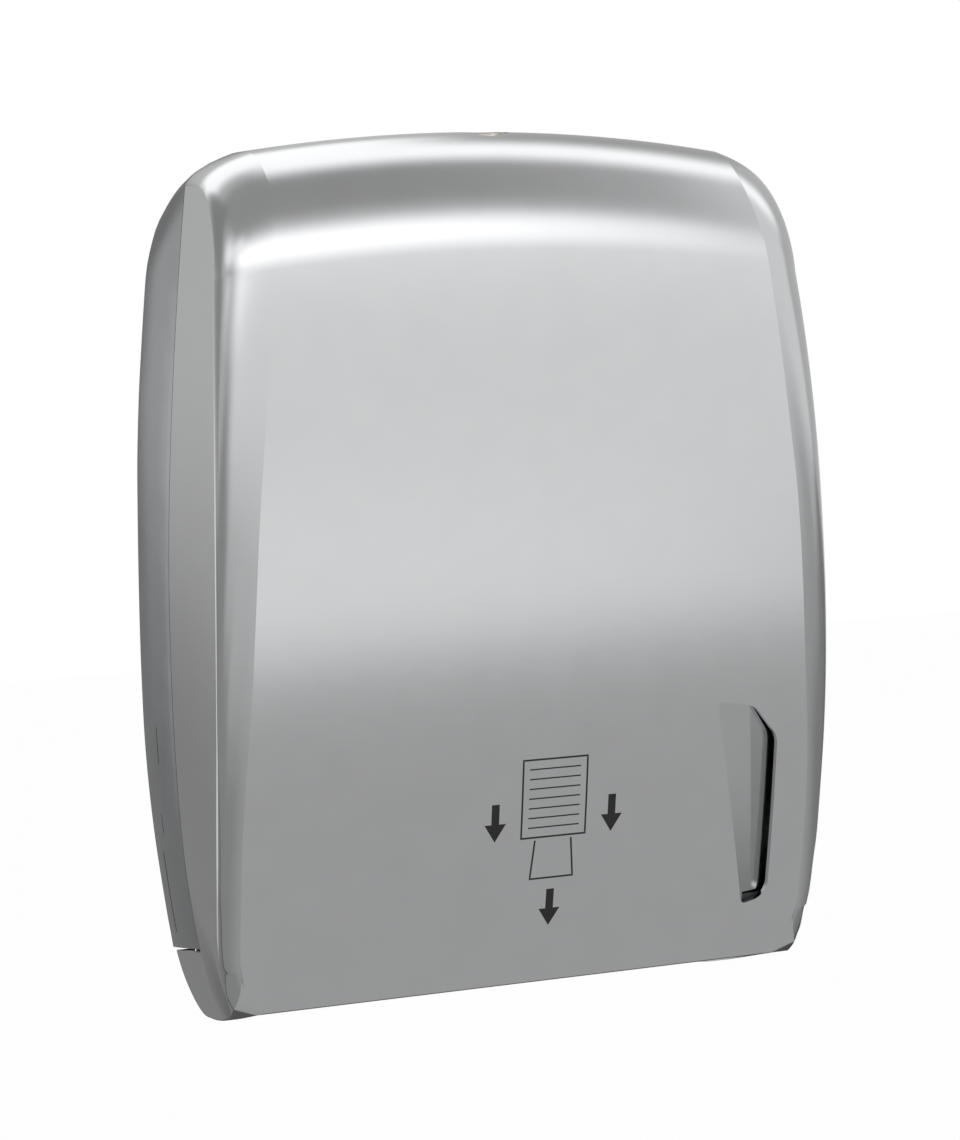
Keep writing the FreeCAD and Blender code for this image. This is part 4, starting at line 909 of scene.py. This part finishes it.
# The room's soft light panels, whose places and levels were fitted to what the photographed chrome mirrors:
# (name, low, high, edge softness, left, right, edge softness, lean, brightness), in degrees.
# Heights run from 0 in front of the object over 90 overhead to 180 behind it, and sides from -90 left to 90 right.
ROOM_LEVEL = 0.61
ROOM_PANELS = (
    ("ground", -120, -64, 14, -99, 99, 9, 0, 0.12),
    ("floor", -88, -14.5, 4, -99, 99, 9, 2, 0.50),
    ("floor_right", -88, -17, 8, 48, 99, 18, 0, 0.28),
    ("floor_left", -93, -12, 10, -99, -3, 22, -6, 0.33),
    ("low_glow", -14.5, 4, 4, 6, 32, 18, 10, 1.08),
    ("left_wall", -57, 26, 19, -99, -52, 18, -8, 0.34),
    ("left_gap", -12, 7, 14, -28, 0, 8, 9, 0.63),
    ("right_wall", -15, 12, 11, 31, 68, 4, -10, 0.46),
    ("front_wall", 2, 28, 18, -56, 46, 26, -12, 0.96),
    ("soft_box", 24, 47, 18, -55, 30, 27, -10, 1.88),
    ("soft_box_rim", 42, 68, 15, -70, -35, 12, -16, 1.36),
    ("ceiling", 58, 104, 12, -51, 27, 23, -7, 0.40),
    ("ceiling_right", 25, 104, 15, 33, 107, 6, -19, 0.92),
    ("top_light", 103, 128, 21, -1, 64, 22, -17, 1.59),
    ("rear_light", 115, 151, 18, -32, 19, 6, -24, 1.58),
    ("rear_dark", 135, 167, 11, 21, 38, 5, 2, 0.47),
    ("rear_corner", 98, 144, 11, -99, -36, 9, 8, 0.32),
    ("rear_wall", 155, 179, 10, -99, -22, 7, 10, 0.58),
    ("rear_gap", 168, 206, 8, -13, 16, 4, 0, 0.24),
    ("rear_floor", 190, 262, 14, -99, 99, 8, 8, 0.27),
    ("floor_shade", 196, 262, 10, 4, 60, 10, 0, 0.09),
)
BACKDROP_PANELS = (
    ("backdrop_left", 182, 205, 8, -78, -25, 5, 4),
    ("backdrop_right", 181, 208, 6, 35, 63, 8, 12),
)


# Soft lamps: (name, place in metres, size in metres, power in watts)
LAMPS = (
    ("key_lamp", (-1.2, -1.6, 1.8), 1.2, 9.0),
    ("fill_lamp", (1.8, -1.4, 0.9), 1.6, 5.0),
)
# The camera: its focal length in the photograph's pixels, the frame's height in them, its sensor in millimetres,
# and the point it looks at in metres
FOCAL_PIXELS = 2784.0
FRAME_PIXELS = 1140.0
SENSOR = 36.0
CAMERA_TARGET = (0.0001, -0.060, -0.0113)


class DISPENSER_OT_stage(bpy.types.Operator):
    """Sets the floor, the soft lights, the white background and the camera"""
    bl_idname = "dispenser.stage"
    bl_label = "Stage"

    def execute(self, context):
        stage = context.scene.dispenser_stage
        self.floor(stage)
        self.world(context)
        self.lamps()
        self.camera(context, stage)
        context.scene.view_settings.view_transform = "Standard"
        return {"FINISHED"}

    def floor(self, stage):
        """A pale floor well below the case, since the case hangs on a wall."""
        bpy.ops.mesh.primitive_plane_add(size=12.0, location=(0, 0, -stage.floor_drop))
        floor = bpy.context.object
        floor.name = "floor"
        material = bpy.data.materials.new("pale_floor")
        tree = empty_tree(material)
        matt = add_node(tree, "ShaderNodeBsdfDiffuse", {"Color": linear("#F2F2F0")})
        white = add_node(tree, "ShaderNodeEmission", {"Color": (1, 1, 1, 1), "Strength": 1.0})
        clear = add_node(tree, "ShaderNodeBsdfTransparent")
        path = add_node(tree, "ShaderNodeLightPath")
        # Most of the white is seen by the camera and through glass, and the rest keeps the shadow
        lifted_white = add_node(tree, "ShaderNodeMath", {"operation": "MAXIMUM"},
                                {0: path.outputs["Is Camera Ray"], 1: path.outputs["Is Transmission Ray"]})
        share = add_node(tree, "ShaderNodeMath", {"operation": "MULTIPLY", 1: 0.94},
                         {0: lifted_white.outputs["Value"]})
        pale = add_node(tree, "ShaderNodeMixShader", {}, {0: share.outputs["Value"], 1: matt.outputs["BSDF"],
                                                          2: white.outputs["Emission"]})
        # Metal looks past the floor at the room, which has its own floor
        seen = add_node(tree, "ShaderNodeMixShader", {}, {0: path.outputs["Is Glossy Ray"], 1: pale.outputs["Shader"],
                                                          2: clear.outputs["BSDF"]})
        add_node(tree, "ShaderNodeOutputMaterial", {}, {"Surface": seen.outputs["Shader"]})
        floor.data.materials.append(material)

    def world(self, context):
        """A photographer's room round the object: soft light panels over a grey floor, and a white backdrop."""
        world = bpy.data.worlds.new("soft_studio")
        context.scene.world = world
        tree = empty_tree(world)
        ray = add_node(tree, "ShaderNodeTexCoord")
        parts = add_node(tree, "ShaderNodeSeparateXYZ", {}, {0: ray.outputs["Generated"]})
        ahead = add_node(tree, "ShaderNodeMath", {"operation": "MULTIPLY", 1: -1.0}, {0: parts.outputs["Y"]})
        turn = add_node(tree, "ShaderNodeMath", {"operation": "ARCTAN2"},
                        {0: parts.outputs["Z"], 1: ahead.outputs["Value"]})
        height = add_node(tree, "ShaderNodeMath", {"operation": "WRAP", 1: math.radians(250), 2: math.radians(-110)},
                          {0: turn.outputs["Value"]})
        side = add_node(tree, "ShaderNodeMath", {"operation": "ARCSINE"}, {0: parts.outputs["X"]})

        across = side.outputs["Value"]

        def edge(source, place, soft, rising):
            """A panel's soft edge, rising or falling at a place."""
            place, soft = math.radians(place), math.radians(soft)
            node = add_node(tree, "ShaderNodeMapRange",
                            {"interpolation_type": "SMOOTHSTEP", "From Min": place - soft / 2,
                             "From Max": place + soft / 2, "To Min": 0.0 if rising else 1.0,
                             "To Max": 1.0 if rising else 0.0}, {"Value": source})
            return node.outputs["Result"]

        def panel(low, high, soft, left, right, side_soft, lean):
            """The mask of a panel: 1 inside its four soft edges."""
            leaning = add_node(tree, "ShaderNodeMath", {"operation": "MULTIPLY_ADD", 1: -lean / 90},
                               {0: across, 2: height.outputs["Value"]}).outputs["Value"]
            masks = [edge(leaning, low, soft, True), edge(leaning, high, soft, False),
                     edge(across, left, side_soft, True), edge(across, right, side_soft, False)]
            mask = masks[0]
            for other in masks[1:]:
                product = add_node(tree, "ShaderNodeMath", {"operation": "MULTIPLY"}, {0: mask, 1: other})
                mask = product.outputs["Value"]
            return mask

        room = add_node(tree, "ShaderNodeRGB").outputs[0]
        room.default_value = (ROOM_LEVEL, ROOM_LEVEL, ROOM_LEVEL, 1.0)
        for name, low, high, soft, left, right, side_soft, lean, level in ROOM_PANELS:
            shown = panel(low, high, soft, left, right, side_soft, lean)
            settings = {"data_type": "RGBA", "label": name, 7: (level, level, level, 1.0)}
            room = add_node(tree, "ShaderNodeMix", settings, {0: shown, 6: room}).outputs[2]
        path = add_node(tree, "ShaderNodeLightPath")
        share = add_node(tree, "ShaderNodeMath", {"operation": "MAXIMUM"},
                         {0: path.outputs["Is Camera Ray"], 1: path.outputs["Is Transmission Ray"]}).outputs["Value"]
        for name, low, high, soft, left, right, side_soft, lean in BACKDROP_PANELS:
            shown = panel(low, high, soft, left, right, side_soft, lean)
            in_metal = add_node(tree, "ShaderNodeMath", {"operation": "MULTIPLY", "label": name},
                                {0: path.outputs["Is Glossy Ray"], 1: shown})
            share = add_node(tree, "ShaderNodeMath", {"operation": "MAXIMUM"},
                             {0: share, 1: in_metal.outputs["Value"]}).outputs["Value"]
        white = add_node(tree, "ShaderNodeMix", {"data_type": "RGBA", 7: (1, 1, 1, 1)}, {0: share, 6: room})
        shade = add_node(tree, "ShaderNodeBackground", {"Strength": 1.0}, {"Color": white.outputs[2]})
        add_node(tree, "ShaderNodeOutputWorld", {}, {"Surface": shade.outputs["Background"]})

    def lamps(self):
        """Two soft lamps aimed at the object."""
        for name, place, size, power in LAMPS:
            bpy.ops.object.light_add(type="AREA", location=place)
            lamp = bpy.context.object
            lamp.name = name
            lamp.data.size = size
            lamp.data.energy = power
            lamp.rotation_euler = (-Vector(place)).to_track_quat("-Z", "Y").to_euler()
            # The room's panels are what metal mirrors
            lamp.visible_glossy = False

    def camera(self, context, stage):
        """The camera at the photograph's angle."""
        target = Vector(CAMERA_TARGET)
        back = Vector((math.sin(stage.azimuth) * math.cos(stage.elevation),
                       -math.cos(stage.azimuth) * math.cos(stage.elevation), math.sin(stage.elevation)))
        bpy.ops.object.camera_add(location=target + back * stage.distance)
        camera = bpy.context.object
        camera.name = "camera"
        camera.data.sensor_width = SENSOR
        camera.data.lens = FOCAL_PIXELS * SENSOR / FRAME_PIXELS
        camera.rotation_euler = (-back).to_track_quat("-Z", "Y").to_euler()
        context.scene.camera = camera


class DISPENSER_PT_panel(bpy.types.Panel):
    """Lists the operators and the sizes"""
    bl_label = "Paper dispenser"
    bl_idname = "DISPENSER_PT_panel"
    bl_space_type = "VIEW_3D"
    bl_region_type = "UI"
    bl_category = "Dispenser"

    def draw(self, context):
        for operator in OPERATORS:
            self.layout.operator(operator.bl_idname)
        for group in (context.scene.dispenser_cover, context.scene.dispenser_stage):
            box = self.layout.box()
            for name in group.__annotations__:
                box.prop(group, name)


OPERATORS = (DISPENSER_OT_finishes, DISPENSER_OT_cover, DISPENSER_OT_back, DISPENSER_OT_pocket, DISPENSER_OT_signs,
             DISPENSER_OT_stage)
CLASSES = (CoverSizes, DispenserStage) + OPERATORS + (DISPENSER_PT_panel,)


def register():
    for item in CLASSES:
        bpy.utils.register_class(item)
    bpy.types.Scene.dispenser_cover = PointerProperty(type=CoverSizes)
    bpy.types.Scene.dispenser_stage = PointerProperty(type=DispenserStage)


def unregister():
    del bpy.types.Scene.dispenser_stage
    del bpy.types.Scene.dispenser_cover
    for item in reversed(CLASSES):
        bpy.utils.unregister_class(item)


def main():
    """Registers the operators and makes everything in order."""
    register()
    for operator in OPERATORS:
        bpy.ops.object.select_all(action="DESELECT")
        call = bpy.ops
        for part in operator.bl_idname.split("."):
            call = getattr(call, part)
        call()


if __name__ == "__main__":
    main()
